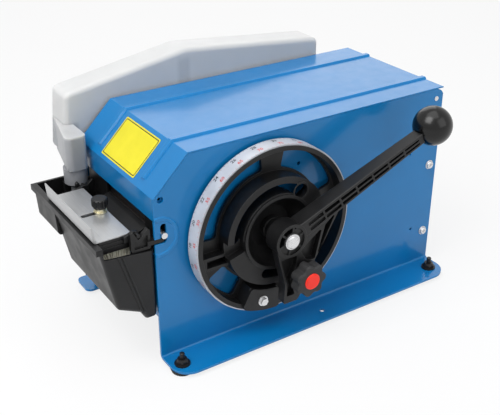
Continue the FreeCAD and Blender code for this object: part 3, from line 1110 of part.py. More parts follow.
# ---- cutter ---------------------------------------------------------------------------------
def knife():
    """Moving knife: two long side arms, a cross bar, the blade, and a cam pin on the far arm."""
    bar_x0 = KNIFE_X + KNIFE_T
    bar_x1 = bar_x0 + KNIFE_BAR_T
    half = KNIFE_ARM_HALF
    low, high = KNIFE_PIVOT_Z - half, KNIFE_PIVOT_Z + half
    holder_top = KNIFE_HOLDER_Z + KNIFE_BAR_HEIGHT
    crank = [(bar_x0, low), (KNIFE_PIVOT_X, low), (KNIFE_PIVOT_X, high), (bar_x1 + 12, high),
             (bar_x1, high + 8), (bar_x1, holder_top), (bar_x0, holder_top)]
    pieces = []
    for y in (KNIFE_NEAR_Y, KNIFE_FAR_Y):
        arm = fuse(prism("xz", crank, y, y + KNIFE_ARM_T, [3, 0, 0, 8, 6, 0, 0]),
                   rod_y(KNIFE_PIVOT_X, KNIFE_PIVOT_Z, half + 1.5, y, y + KNIFE_ARM_T))
        z0, z1 = KNIFE_PIVOT_Z - 2.5, KNIFE_PIVOT_Z + 2.5
        holes = [prism("xz", [(x, z0), (x + 34, z0), (x + 34, z1), (x, z1)], y - 1, y + KNIFE_ARM_T + 1, 2.4)
                 for x in (34, 98, 138)]
        bore = rod_y(KNIFE_PIVOT_X, KNIFE_PIVOT_Z, KNIFE_ROD_R + RUN_FIT, y - 1, y + KNIFE_ARM_T + 1)
        pieces.append(cut(arm, bore, *holes))
    pin_x, pin_z = cam_pin_path(0)
    pieces.append(rod_y(pin_x, pin_z, CAM_PIN_R, KNIFE_FAR_Y, MAIN_GEAR_Y + GEAR_T - 1.0))
    pieces.append(box(bar_x0, bar_x1, KNIFE_NEAR_Y, KNIFE_FAR_Y + KNIFE_ARM_T, KNIFE_HOLDER_Z, holder_top))
    save("knife_frame", fuse(*pieces))
    near, far = TAPE_NEAR_Y - 3.0, TAPE_FAR_Y + 3.0
    edge = [(near, BLADE_TOP_Z + 0.5), (far, BLADE_TOP_Z - 3.0), (far, holder_top), (near, holder_top)]
    save("moving_blade", prism("yz", edge, KNIFE_X, KNIFE_X + KNIFE_T))


def fixed_blade():
    near, far = TAPE_NEAR_Y - 5.0, TAPE_FAR_Y + 5.0
    x1 = KNIFE_X - FIT_GAP
    blade = box(x1 - 2.0, x1, near, far, BLADE_TOP_Z - 16.0, BLADE_TOP_Z)
    save("fixed_blade", blade)


def tape_chute():
    """Black ramp from the blades down to the brushes, and the cheeks that close the mouth beside it."""
    near, far = TAPE_NEAR_Y - 2.0, TAPE_FAR_Y + 2.0
    x_back = KNIFE_X - FIT_GAP - 2.0
    section = [(x_back, BLADE_TOP_Z - 0.5), (x_back, APRON_TOP_Z), (APRON_X, APRON_TOP_Z),
               (APRON_X, BLADE_TOP_Z - 5.0), (-9.0, BLADE_TOP_Z - 8.0), (-9.5, BLADE_TOP_Z - 6.0),
               (APRON_X, BLADE_TOP_Z - 1.8)]
    ramp = prism("xz", section, near, far)
    back = APRON_X + PANEL_SHEET
    low, high = APRON_TOP_Z - 10.0, LIP_BOTTOM_Z - 2.0
    cheeks = [box(back, x_back, y0, y1, low, high)
              for y0, y1 in ((CHEEK_INSET, near + 0.5), (far - 0.5, CASE_WIDTH - CHEEK_INSET))]
    save("tape_chute", fuse(ramp, *cheeks))


# ---- tape roll bay --------------------------------------------------------------------------
def cradle():
    """Rollers that carry the roll of tape; they lie between the guides' innermost places."""
    near, far = TAPE_NEAR_Y + GUIDE_TRAVEL, TAPE_FAR_Y - GUIDE_TRAVEL
    for name, x in zip(("cradle_roller_front", "cradle_roller_back"), CRADLE_XS):
        save(name, tube_y(x, CRADLE_Z, GUIDE_ROD_R + RUN_FIT, CRADLE_R, near, far))


def tape_guides():
    """Upright guides that slide on two rods to the width of the tape."""
    foot, sill, top = GUIDE_ROD_Z - GUIDE_EDGE, GUIDE_ROD_Z + GUIDE_SILL, ROLL_Z + ROLL_R - GUIDE_TOP_GAP
    x0, x1 = GUIDE_XS[0] - GUIDE_EDGE, GUIDE_XS[1] + GUIDE_EDGE
    edge = [(x0, foot), (x1, foot), (x1, sill), (CRADLE_XS[1], top), (CRADLE_XS[0], top), (x0, sill)]
    low, high = WINDOW_LOW_Z, ROLL_Z + CRADLE_HALF
    wide, narrow = ROLL_R / 2, ROLL_R / 2 - WINDOW_TAPER
    hole = [(ROLL_X - wide, low), (ROLL_X + wide, low), (ROLL_X + narrow, high), (ROLL_X - narrow, high)]
    near, far = TAPE_NEAR_Y - TAPE_SIDE_GAP, TAPE_FAR_Y + TAPE_SIDE_GAP
    for name, y, side in (("near_tape_guide", near, -1), ("far_tape_guide", far, 1)):
        y0, y1 = sorted((y, y + side * GUIDE_SHEET))
        plate = prism("xz", edge, y0, y1, [GUIDE_FOOT_R, GUIDE_FOOT_R, GUIDE_SILL_R,
                                           GUIDE_TOP_R, GUIDE_TOP_R, GUIDE_SILL_R])
        window = prism("xz", hole, y0 - 1, y1 + 1, WINDOW_CORNER_R)
        sockets = []
        for x in GUIDE_XS:
            c0, c1 = sorted((y, y + side * (GUIDE_SHEET + GUIDE_SOCKET_LENGTH)))
            sockets.append(rod_y(x, GUIDE_ROD_Z, GUIDE_ROD_R + GUIDE_SOCKET_WALL, c0, c1))
        reach = GUIDE_SOCKET_LENGTH + 1
        bores = [rod_y(x, GUIDE_ROD_Z, GUIDE_ROD_R + RUN_FIT, y0 - reach, y1 + reach) for x in GUIDE_XS]
        passes = [rod_y(x, CRADLE_Z, GUIDE_ROD_R + FIT_GAP, y0 - 1, y1 + 1) for x in CRADLE_XS]
        save(name, cut(fuse(plate, *sockets), window, *bores, *passes))


# ---- water tray -----------------------------------------------------------------------------
def trough_section(inset):
    """Side view of the deep trough, pulled in by inset."""
    i = inset
    floor = TRAY_FLOOR_Z + i
    x, top = TRAY_FRONT_X, TRAY_RIM_Z + 2
    slant = i * 0.5
    return [(x + 3.5 + i, top), (x + 4 + i, top - 10), (x + 17 + i, floor + 20),
            (x + 40 + slant, floor + 9), (x + 45 + slant, floor), (TRAY_BACK_X - i, floor),
            (TRAY_BACK_X - i, top)]


def well_section(inset):
    """Side view of the shallow well under the bottle, pulled in by inset."""
    i = inset
    x, top = TRAY_FRONT_X, TRAY_RIM_Z + 2
    return [(x + 3 + i, top), (x + 5.5 + i, TRAY_WELL_Z + i), (TRAY_BACK_X - i, TRAY_WELL_Z + i),
            (TRAY_BACK_X - i, top)]


def tray_cutaways():
    """The low near end, the low back wall that the tape passes, and the far hook's notch."""
    near, far = TRAY_END_GAP, CASE_WIDTH - TRAY_END_GAP
    front, top = TRAY_FRONT_X + 6, TRAY_RIM_Z + 3
    low_end = prism("xz", [(front, top), (front + 1, TRAY_END_Z + TRAY_END_RISE), (1, TRAY_END_Z), (1, top)],
                    near - 1, near + TRAY_WALL + 0.2)
    low_back = box(TRAY_BACK_X - TRAY_WALL - 1, 1, near - 1, far - TRAY_WALL, TRAY_END_Z, top)
    notch = box(-9.0, 1, far - TRAY_WALL - 1, far + 1, LATCH_MOUTH_Z[0] - 0.5, top)
    return [low_end, low_back, notch]


def water_tray():
    near, far, step = TRAY_END_GAP, CASE_WIDTH - TRAY_END_GAP, TRAY_STEP_Y
    w = TRAY_WALL
    cap = box(TRAY_FRONT_X - 1, 1, -1, CASE_WIDTH + 1, TRAY_RIM_Z, TRAY_RIM_Z + 10)
    outer = fuse(prism("xz", trough_section(0), near, step, [0, 0, 5, 3, 3, 4, 0]),
                 prism("xz", well_section(0), step - w, far, [0, 4, 4, 0]))

    def near_back_corner(b):
        return b.ZLength > 60 and b.XMin > TRAY_BACK_X - 0.1 and b.YMax < near + 0.1
    outer = filleted(outer, 5.0, near_back_corner)
    front_rim = box(TRAY_FRONT_X, TRAY_FRONT_X + 7, near, far, TRAY_RIM_Z - TRAY_RIM_DROP, TRAY_RIM_Z)
    hollow = fuse(prism("xz", trough_section(w), near + w, step - w, [0, 0, 4, 2, 2, 3, 0]),
                  prism("xz", well_section(w), step - w - 1, far - w, [0, 3, 3, 0]))
    rib_low, rib_top = TRAY_FLOOR_Z + 10.0, TRAY_END_Z + 3.0
    top_x, low_x = TRAY_FRONT_X + 20, TRAY_FRONT_X + 39.5
    rib_edge = [(top_x, rib_top), (low_x, rib_low), (low_x + 5, rib_low), (top_x + 5, rib_top)]
    line_edge = [(top_x + 1.5, rib_top + 1), (low_x + 1.5, rib_low - 1), (low_x + 3.5, rib_low - 1),
                 (top_x + 3.5, rib_top + 1)]
    rib = cut(prism("xz", rib_edge, near - 1.2, near + 0.5), prism("xz", line_edge, near - 2.0, near))
    below_brush = box(TRAY_FRONT_X, 0, 0, CASE_WIDTH, 0, BRUSH_BASE_Z)
    webs = [prism("xz", trough_section(w - 0.5), y, y + 3.0).common(below_brush)
            for y in (BRUSH_NEAR_Y + 14.0, BRUSH_FAR_Y - 17.0)]
    shell = cut(fuse(outer, front_rim), hollow, cap, *tray_cutaways())
    save("water_tray", fuse(shell, rib, *webs))


def notched_bracket(y0, y1):
    """Open bracket whose notch carries a pivot pin of the pressure bar."""
    left = polar(11.0, NOTCH_SIDES[0], NOTCH_X, NOTCH_Z)
    right = polar(13.5, NOTCH_SIDES[1], NOTCH_X, NOTCH_Z)
    shape = [(NOTCH_X - 7.5, NOTCH_Z - 12), (NOTCH_X + 12, NOTCH_Z - 12), (NOTCH_X + 12, right[1] - 2), right,
             (NOTCH_X, NOTCH_Z), left, (NOTCH_X - 7.5, left[1] - 2)]
    return prism("xz", shape, y0, y1, [3, 2, 0.5, 0.5, 0.8, 0.5, 0.5])


def tray_hooks():
    """Brackets in the tray: bearings for the pressure bar, and arms that hold the tray by the latch."""
    low, high = LATCH_MOUTH_Z
    top = high - FIT_GAP
    tooth_x = LATCH_SLOT_X + LATCH_WIRE_R + 0.4
    inner = TRAY_END_GAP + TRAY_WALL

    def maker():
        arm = prism("xz", [(-7, low + 1.0), (tooth_x + 5, low + 1.0), (tooth_x + 5, LATCH_REST_Z + 2),
                           (tooth_x, LATCH_REST_Z + 1), (tooth_x, top), (-7, top)], PLATE + 0.9, inner + 4.0,
                    [0, 1.5, 1, 0.6, 0, 0])
        return [fuse(arm, box(-7.0, LATCH_SLOT_X, TRAY_END_GAP, PLATE + 1.5, low + 1.0, top))]
    near, far = both_sides(maker)
    y0, y1 = NEAR_BRACKET_Y, NEAR_BRACKET_Y + BRACKET_T
    recess = [(NOTCH_X - 4.5, NOTCH_Z - 9), (NOTCH_X + 9.5, NOTCH_Z - 9), (NOTCH_X + 9.5, NOTCH_Z + 4),
              (NOTCH_X + 1, NOTCH_Z - 4), (NOTCH_X - 4.5, NOTCH_Z + 1)]
    pocket = prism("xz", recess, y0 - 1, y0 + 2.0, 0.8)
    stem = box(NOTCH_X - 5, NOTCH_X + 9, y1 - 2.5, y1, BRUSH_BASE_Z, NOTCH_Z - 10)
    foot = box(NOTCH_X - 5, NOTCH_X + 9, inner, y1, BRUSH_BASE_Z, BRUSH_BASE_Z + 8)
    near_bracket = fuse(cut(notched_bracket(y0, y1), pocket), stem, foot, near[0])
    y0, y1 = FAR_BRACKET_Y, FAR_BRACKET_Y + BRACKET_T - 1
    far_stem = box(NOTCH_X - 5, NOTCH_X + 9, y0, y1, TRAY_WELL_Z + TRAY_WALL, NOTCH_Z - 10)
    far_bracket = fuse(notched_bracket(y0, y1), far_stem)
    lug = box(-24.0, -6.0, CASE_WIDTH - inner - 4.0, CASE_WIDTH - inner, 118.0, CAP_BOTTOM_Z - 1.5)
    save("tray_hooks", near_bracket, far_bracket, fuse(far[0], lug))


def latch_bail():
    """Bent wire: its cross bar lies behind the apron, its ends come out through the slots."""
    r, x = LATCH_WIRE_R, LATCH_SLOT_X
    low, top = 96.0, LATCH_REST_Z
    leg = INNER_NEAR_Y + 10.5
    far_leg = CASE_WIDTH - leg
    pieces = [rod_y(x, low, r, leg, far_leg)]
    for y_leg, y_end in ((leg, -LATCH_OUTSIDE), (far_leg, CASE_WIDTH + LATCH_OUTSIDE)):
        pieces.append(rod_z(x, y_leg, r, low, top))
        y0, y1 = sorted((y_leg, y_end))
        pieces.append(rod_y(x, top, r, y0, y1))
        pieces += [Part.makeSphere(r, V(x, y_leg, z)) for z in (low, top)]
        pieces.append(rod_y(x, top, r + 0.3, y_end - 0.9, y_end + 0.9))
    save("latch_bail", fuse(*pieces))


# ---- moistener ------------------------------------------------------------------------------
def brushes():
    near, far = BRUSH_NEAR_Y, BRUSH_FAR_Y
    low, top = BRUSH_BASE_Z, BRUSH_BASE_Z + BRUSH_BASE_T
    base = box(BRUSH_FRONT_X, BRUSH_BACK_X, near, far, low, top)
    ends = [box(BRUSH_FRONT_X, BRUSH_BACK_X, y, y + 3.0, low, top + 5.0) for y in (near, far - 3.0)]
    seat_z = low + 3.0
    flare = 4.0
    front = BRUSH_FRONT_X + 1.5
    rows = ((front, front + 12.5, flare), (front + 13.5, front + 25.5, 1.0))
    seats = [box(x0, x1, near + 3.0, far - 3.0, seat_z, top + 1) for x0, x1, lean in rows]
    tufts = []
    for x0, x1, lean in rows:
        section = [(x0, seat_z), (x1, seat_z), (x1, top), (x1 - lean * 0.4, BRISTLE_TOP_Z),
                   (x0 - lean, BRISTLE_TOP_Z), (x0, top)]
        tufts.append(prism("xz", section, near + 3.0, far - 3.0, [0, 0, 0, 1.0, 1.0, 0]))
    save("brush_holder", cut(fuse(base, *ends), *seats))
    save("brush_bristles", *tufts)


def pressure_bar():
    """Heavy bar that keeps the tape down on the brushes; it swings on pins in its end ears."""
    near, far = BAR_NEAR_Y, BAR_FAR_Y
    low, top = BAR_BOTTOM_Z, BAR_BOTTOM_Z + BAR_T
    front, back = BAR_FRONT_X, BAR_BACK_X
    section = [(front, low + 3), (front + 4, low), (back - 2, low), (back, low + 2),
               (back, top), (front, top)]
    bar = prism("xz", section, near, far, [1, 2, 1, 1, 0, 0])
    grooves = [box(front - 1, back + 1, near - 1, near + BAR_GROOVE_DEPTH, low + z0, low + z1)
               for z0, z1 in BAR_GROOVES]
    stem = rod_z(THUMB_X, THUMB_Y, STEM_R + RUN_FIT, low + 3.5, top + 1)
    ears = []
    for y0, pin0, pin1 in ((near - BAR_EAR, NEAR_BRACKET_Y + 0.6, near - 1.0),
                           (far, far + 1.0, FAR_BRACKET_Y + BRACKET_T - 0.5)):
        arm = prism("xz", [(back - 8, top - 6), (LIFT_AXIS_X + 2.5, LIFT_AXIS_Z - 3.6),
                           (LIFT_AXIS_X + 3.4, LIFT_AXIS_Z + 2.6), (LIFT_AXIS_X - 3.2, LIFT_AXIS_Z + 3.2),
                           (back - 8, top - 0.5)], y0, y0 + BAR_EAR, [1, 2, 2.4, 2.4, 2])
        ears += [arm, rod_y(LIFT_AXIS_X, LIFT_AXIS_Z, LIFT_PIN_R, pin0, pin1)]
    save("pressure_bar", cut(fuse(bar, *ears), stem, *grooves))


def guide_plate():
    """Bright plate over the tape, with an upturned front lip to lift it by."""
    z0 = BAR_BOTTOM_Z + BAR_T
    x0, x1 = GUIDE_FRONT_X, GUIDE_BACK_X
    t = GUIDE_T
    lean = GUIDE_LIP_LEAN
    section = [(x1, z0), (x1, z0 + t), (x0 + t + 2, z0 + t), (x0 + t - lean, z0 + GUIDE_LIP),
               (x0 - lean, z0 + GUIDE_LIP), (x0, z0)]
    plate = prism("xz", section, BAR_NEAR_Y + FIT_GAP, BAR_FAR_Y - FIT_GAP, [0, 0, 1.5, 0.5, 0.5, 3.0])
    half = PLATE_SLOT_HALF
    slot_x0, slot_x1 = THUMB_X - PLATE_SLOT_TRAVEL - half - 2, THUMB_X + half
    y0, y1 = THUMB_Y - half, THUMB_Y + half
    corners = [(slot_x0, y0), (slot_x1, y0), (slot_x1, y1), (slot_x0, y1)]
    save("guide_plate", cut(plate, prism("xy", corners, z0 - 1, z0 + t + 1, half - 0.05)))


def thumb_screw():
    """Stem threaded into the bar, the brass collar on it, and the fluted knob moulded round it."""
    x, y, z0 = THUMB_X, THUMB_Y, THUMB_BASE_Z + COLLAR_HEIGHT
    save("thumb_screw_stem", rod_z(x, y, STEM_R, BAR_BOTTOM_Z + 4, z0 + 7))
    collar = fuse(rod_z(x, y, COLLAR_R, THUMB_BASE_Z, z0),
                  rod_z(x, y, COLLAR_FOOT_R, THUMB_BASE_Z, THUMB_BASE_Z + COLLAR_FOOT_T))
    save("thumb_collar", cut(collar, rod_z(x, y, STEM_R, THUMB_BASE_Z - 1, z0 + 1)))
    knob = fuse(Part.makeCone(THUMB_R - 1.6, THUMB_R, 3.0, V(x, y, z0), PLUS_Z),
                rod_z(x, y, THUMB_R, z0 + 3.0, z0 + THUMB_HEIGHT))
    knob = chamfered(knob, 1.2, lambda b: b.ZMin > z0 + THUMB_HEIGHT - 0.01)
    flutes = []
    for i in range(THUMB_FLUTES):
        place_xy = polar(THUMB_R + 0.7, 360.0 / THUMB_FLUTES * i, x, y)
        flutes.append(rod_z(*place_xy, 1.4, z0 + 1.5, z0 + THUMB_HEIGHT + 1))
    save("thumb_knob", cut(knob, rod_z(x, y, STEM_R, z0 - 1, z0 + 7), *flutes))


# ---- water bottle ---------------------------------------------------------------------------
def bottle_body(inset):
    """Slab of the bottle beside the case, pulled in by inset."""
    i = inset
    y0, y1 = CASE_WIDTH + BOTTLE_GAP + i, CASE_WIDTH + BOTTLE_GAP + BOTTLE_T - i
    (xa, za), (xb, zb), (xc, zc) = BOTTLE_CORNERS
    floor = BOTTLE_BOTTOM_Z + i
    side = [(BOTTLE_FRONT_X + i, floor), (xc - i, floor + 6), (xc - i, zc - i), (xb, zb - i),
            (xa + i, za - i)]
    slab = prism("xz", side, y0, y1, [8, 8, 8, 25, 7])
    if i == 0:
        slab = filleted(slab, BOTTLE_EDGE_R, lambda b: b.YLength < 1e-3)
    return slab


def bottle_spout(inset):
    """Offset column that carries the neck over the tray; its front slants back into the slab."""
    i = inset
    near, far = SPOUT_NEAR_Y + i, SPOUT_FAR_Y - i
    back = SPOUT_BACK_X - i
    plan = [(SPOUT_NEAR_X + i, near), (back, near), (back, far), (SPOUT_FAR_X + i, far)]
    return prism("xy", plan, BOTTLE_BOTTOM_Z + i, SPOUT_TOP_Z - i, [6, 5, 1, 1])


def bottle():
    outer = fuse(bottle_body(0), bottle_spout(0))
    neck_r = CAP_OUTER_R - CAP_WALL
    neck = rod_z(SPOUT_X, SPOUT_Y, neck_r, CAP_BOTTOM_Z + CAP_FLOOR, BOTTLE_BOTTOM_Z + 0.5)
    hollow = fuse(bottle_body(BOTTLE_WALL), bottle_spout(BOTTLE_WALL))
    bore = rod_z(SPOUT_X, SPOUT_Y, neck_r - 2.0, CAP_BOTTOM_Z, BOTTLE_BOTTOM_Z + BOTTLE_WALL + 1)
    save("water_bottle", cut(fuse(outer, neck), hollow, bore))
    cap = rod_z(SPOUT_X, SPOUT_Y, CAP_OUTER_R, CAP_BOTTOM_Z, CAP_TOP_Z)
    cap = chamfered(cap, 1.5, lambda b: b.ZMax < CAP_BOTTOM_Z + 0.01)
    spigot = rod_z(SPOUT_X, SPOUT_Y, VALVE_STEM_R + 4.0, WATER_Z, CAP_BOTTOM_Z + 1)
    cap = cut(fuse(cap, spigot), rod_z(SPOUT_X, SPOUT_Y, neck_r, CAP_BOTTOM_Z + CAP_FLOOR, CAP_TOP_Z + 1),
              rod_z(SPOUT_X, SPOUT_Y, VALVE_STEM_R + 1.5, WATER_Z - 1, CAP_BOTTOM_Z + CAP_FLOOR + 1))
    save("bottle_cap", cap)
    floor = CAP_BOTTOM_Z + CAP_FLOOR
    valve = fuse(rod_z(SPOUT_X, SPOUT_Y, VALVE_STEM_R, WATER_Z - 2.5, floor + 5),
                 rod_z(SPOUT_X, SPOUT_Y, VALVE_STEM_R + 4.5, floor + FIT_GAP, floor + 3.0))
    save("bottle_valve", valve)


def bottle_shelf():
    """Bracket on the bottle-side plate that the bottle's slab stands on."""
    y0 = CASE_WIDTH
    y1 = CASE_WIDTH + BOTTLE_GAP + BOTTLE_T + FIT_GAP
    z1 = BOTTLE_BOTTOM_Z - FIT_GAP
    z0 = z1 - SHELF_SHEET
    out = []
    for x in SHELF_XS:
        section = [(y0, z0 - SHELF_DROP), (y0 + SHELF_SHEET, z0 - SHELF_DROP), (y0 + SHELF_SHEET, z0),
                   (y1 + SHELF_SHEET, z0),
                   (y1 + SHELF_SHEET, z1 + SHELF_LIP), (y1, z1 + SHELF_LIP), (y1, z1), (y0, z1)]
        out.append(prism("yz", section, x, x + SHELF_LENGTH))
    save("bottle_shelf", *out)


# ---- build ----------------------------------------------------------------------------------
side_plates()
base_pan()
back_panel()
front_apron()
cross_rods()
case_screws()
cover_hinge_pins()
feet()
top_cover()
shaft_bushes()
main_shaft()
measuring_wheel()
scale_band()
stop_block()
lever_arm()
ball_knob()
clamp_bolt()
star_knob()
drive_gear()
countershaft()
feed_roller()
pressure_roller()
knife()
fixed_blade()
tape_chute()
cradle()
tape_guides()
water_tray()
tray_hooks()
latch_bail()
brushes()
pressure_bar()
guide_plate()
thumb_screw()
bottle()
bottle_shelf()
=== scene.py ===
"""Dressed model of a counter-top gummed tape dispenser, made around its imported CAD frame."""
import json
import math
import random

import bmesh
import bpy
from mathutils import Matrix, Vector


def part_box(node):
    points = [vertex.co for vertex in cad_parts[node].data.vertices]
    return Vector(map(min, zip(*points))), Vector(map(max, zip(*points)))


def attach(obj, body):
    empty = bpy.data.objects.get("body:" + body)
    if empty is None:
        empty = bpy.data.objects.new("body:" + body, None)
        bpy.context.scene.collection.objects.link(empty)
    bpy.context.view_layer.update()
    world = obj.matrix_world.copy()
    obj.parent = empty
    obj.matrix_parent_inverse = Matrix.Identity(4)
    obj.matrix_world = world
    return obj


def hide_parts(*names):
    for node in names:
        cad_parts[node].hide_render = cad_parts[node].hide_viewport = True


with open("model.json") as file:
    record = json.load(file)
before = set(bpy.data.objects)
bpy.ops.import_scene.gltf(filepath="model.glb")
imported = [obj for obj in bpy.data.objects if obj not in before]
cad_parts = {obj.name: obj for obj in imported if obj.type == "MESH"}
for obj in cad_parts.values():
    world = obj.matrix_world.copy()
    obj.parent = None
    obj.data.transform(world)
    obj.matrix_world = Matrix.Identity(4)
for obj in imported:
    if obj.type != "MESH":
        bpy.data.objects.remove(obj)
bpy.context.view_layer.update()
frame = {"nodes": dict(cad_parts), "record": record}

NODES = frame["nodes"]
MM = 0.001

# ---- places -----------------------------------------------------------------------------------
PLATE = 2.5                  # sheet of the side plates, mm
PLATE_LOW, PLATE_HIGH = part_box("dial_side_plate")
CASE = Vector((PLATE_LOW.x, PLATE_HIGH.y - PLATE * MM, PLATE_LOW.z + PLATE * MM))


def at(x, y, z):
    """Point from millimetres behind the case's front edge, beside its dial side and above its flange."""
    return CASE + Vector((x, y, z)) * MM


# ---- camera: the photograph's viewing angle ---------------------------------------------------
CAMERA_AT = at(-300.1, -616.9, 526.4)
CAMERA_AZIMUTH, CAMERA_ELEVATION = -33.17, 27.94
LENS_MM, SENSOR_MM = 62.41, 36.0


def aim(azimuth, elevation):
    """Direction from the object to a viewer at that azimuth and elevation, in degrees."""
    a, e = math.radians(azimuth), math.radians(elevation)
    return Vector((math.sin(a) * math.cos(e), -math.cos(a) * math.cos(e), math.sin(e)))


def make_camera():
    data = bpy.data.cameras.new("camera")
    data.lens, data.sensor_width, data.sensor_fit = LENS_MM, SENSOR_MM, "HORIZONTAL"
    data.clip_start, data.clip_end = 0.01, 50.0
    camera = bpy.data.objects.new("camera", data)
    bpy.context.scene.collection.objects.link(camera)
    camera.location = CAMERA_AT
    camera.rotation_mode = "QUATERNION"
    camera.rotation_quaternion = (-aim(CAMERA_AZIMUTH, CAMERA_ELEVATION)).to_track_quat("-Z", "Y")
    bpy.context.scene.camera = camera


make_camera()


# ---- materials --------------------------------------------------------------------------------
EDGE_LEAN = 0.06             # 1 less the cosine of the lean that counts as a full edge


class Surface:
    """A procedural material: a Principled shader plus a few node helpers."""

    def __init__(self, name, color, roughness, metallic=0.0, **sockets):
        self.material = bpy.data.materials.new(name)
        self.material.use_nodes = True
        self.tree = self.material.node_tree
        self.shader = self.tree.nodes["Principled BSDF"]
        self.set("Base Color", (*color, 1.0))
        self.set("Roughness", roughness)
        self.set("Metallic", metallic)
        for socket, value in sockets.items():
            self.set(socket.replace("_", " "), value)
        self.place = self.tree.nodes.new("ShaderNodeTexCoord").outputs["Object"]
        self.material.diffuse_color = (*color, 1.0)

    def set(self, socket, value):
        self.shader.inputs[socket].default_value = value

    def node(self, kind, **values):
        made = self.tree.nodes.new(kind)
        for name, value in values.items():
            made.inputs[name.replace("_", " ")].default_value = value
        return made

    def link(self, source, target):
        self.tree.links.new(source, target)

    def stretched(self, scale):
        """Object coordinates with a scale for each axis."""
        mapping = self.node("ShaderNodeMapping", Scale=scale)
        self.link(self.place, mapping.inputs["Vector"])
        return mapping.outputs["Vector"]

    def noise(self, scale, detail=2.0, vector=None):
        made = self.node("ShaderNodeTexNoise", Scale=scale, Detail=detail, Roughness=0.55)
        self.link(vector or self.place, made.inputs["Vector"])
        return made.outputs["Fac"]

    def edge_share(self, radius):
        """0 on flat faces and 1 along edges, from how far a softened normal leans off the true one."""
        soft = self.node("ShaderNodeBevel", Radius=radius)
        true = self.tree.nodes.new("ShaderNodeNewGeometry").outputs["Normal"]
        dot = self.tree.nodes.new("ShaderNodeVectorMath")
        dot.operation = "DOT_PRODUCT"
        self.link(soft.outputs["Normal"], dot.inputs[0])
        self.link(true, dot.inputs[1])
        return self.ramp(dot.outputs["Value"], 0.0, 1.0, 1.0, 1.0 - EDGE_LEAN)

    def mixed(self, share, low, high):
        """Colour between two colours or sockets, by a share."""
        made = self.tree.nodes.new("ShaderNodeMix")
        made.data_type = "RGBA"
        self.link(share, made.inputs["Factor"])
        for value, socket in ((low, made.inputs[6]), (high, made.inputs[7])):
            if isinstance(value, tuple):
                socket.default_value = (*value, 1.0)
            else:
                self.link(value, socket)
        return made.outputs[2]

    def product(self, *values):
        """Product of sockets and numbers."""
        total = values[0]
        for value in values[1:]:
            made = self.tree.nodes.new("ShaderNodeMath")
            made.operation = "MULTIPLY"
            self.link(total, made.inputs[0])
            if isinstance(value, (int, float)):
                made.inputs[1].default_value = value
            else:
                self.link(value, made.inputs[1])
            total = made.outputs[0]
        return total

    def painted_edge_highlight(self, color, share, radius):
        """Painted highlight: a lighter, broken line along the edges, over the colour made so far."""
        base = self.shader.inputs["Base Color"].links[0].from_socket
        broken = self.ramp(self.noise(160.0, 3.0), 0.45, 1.0)
        amount = self.product(self.edge_share(radius), broken, share)
        self.link(self.mixed(amount, base, color), self.shader.inputs["Base Color"])

    def along(self, axis, start, end):
        """0 to 1 between two object coordinates, in metres, along an axis."""
        split = self.tree.nodes.new("ShaderNodeSeparateXYZ")
        self.link(self.place, split.inputs["Vector"])
        return self.ramp(split.outputs[axis], 0.0, 1.0, start, end)

    def ramp(self, value, low, high, start=0.35, end=0.65):
        """Value remapped from start..end to low..high; colours or numbers."""
        if isinstance(low, (int, float)):
            made = self.node("ShaderNodeMapRange", From_Min=start, From_Max=end, To_Min=low, To_Max=high)
            self.link(value, made.inputs["Value"])
            return made.outputs["Result"]
        made = self.tree.nodes.new("ShaderNodeValToRGB")
        stops = made.color_ramp.elements
        stops[0].position, stops[1].position = start, end
        stops[0].color, stops[1].color = (*low, 1.0), (*high, 1.0)
        self.link(value, made.inputs["Fac"])
        return made.outputs["Color"]

    def vary_color(self, scale, low, high, detail=3.0, vector=None):
        self.link(self.ramp(self.noise(scale, detail, vector), low, high), self.shader.inputs["Base Color"])

    def vary_roughness(self, scale, low, high, vector=None):
        self.link(self.ramp(self.noise(scale, 3.0, vector), low, high), self.shader.inputs["Roughness"])

    def bump(self, *layers, edge=0.0):
        """Stacked bumps, each (height value, strength, depth in metres), over softened edges."""
        normal = None
        if edge:
            soft = self.node("ShaderNodeBevel", Radius=edge)
            soft.samples = 4
            normal = soft.outputs["Normal"]
        for height, strength, depth in layers:
            made = self.node("ShaderNodeBump", Strength=strength, Distance=depth)
            self.link(height, made.inputs["Height"])
            if normal is not None:
                self.link(normal, made.inputs["Normal"])
            normal = made.outputs["Normal"]
        self.link(normal, self.shader.inputs["Normal"])


def times(color, factor):
    return tuple(min(1.0, c * factor) for c in color)


def powder_coat(name, color):
    """Glossy powder coat with a slight orange peel, with a painted highlight along its edges."""
    s = Surface(name, color, 0.36, Coat_Weight=0.55, Coat_Roughness=0.14, Specular_IOR_Level=0.15)
    s.vary_color(9.0, times(color, 0.95), times(color, 1.05))
    # painted highlight: the coat's colour nearly doubled along its edges
    s.painted_edge_highlight(times(color, 1.9), 0.55, 0.0009)
    s.vary_roughness(60.0, 0.28, 0.38)
    s.bump((s.noise(650.0, 1.0), 0.10, 0.0003), (s.noise(30.0, 2.0), 0.03, 0.001), edge=0.0008)
    return s.material


def moulded(name, color, roughness, grain=0.12, edge=0.0006, edge_highlight_share=0.5):
    """Moulded plastic with spark-eroded grain, faint flow marks and a painted highlight along its edges."""
    s = Surface(name, color, roughness, Specular_IOR_Level=0.4)
    s.vary_color(25.0, times(color, 0.85), times(color, 1.18))
    # painted highlight along the edges, lighter than the moulding by 0.06
    s.painted_edge_highlight(tuple(c + 0.06 for c in color), edge_highlight_share, 0.0006)
    s.vary_roughness(40.0, roughness - 0.06, roughness + 0.07)
    s.bump((s.noise(2600.0, 2.0), grain, 0.0001), (s.noise(120.0, 2.0), 0.04, 0.0004), edge=edge)
    return s.material


def brushed(name, color, roughness, scale, metallic=1.0, edge=0.0003):
    """Brushed or rolled metal, its scratches stretched along one axis by the scale."""
    s = Surface(name, color, roughness, metallic)
    lines = s.stretched(scale)
    s.vary_color(6.0, times(color, 0.86), times(color, 1.08), 4.0, lines)
    s.vary_roughness(9.0, roughness - 0.07, roughness + 0.10, lines)
    s.bump((s.noise(14.0, 3.0, lines), 0.05, 0.0002), edge=edge)
    return s.material


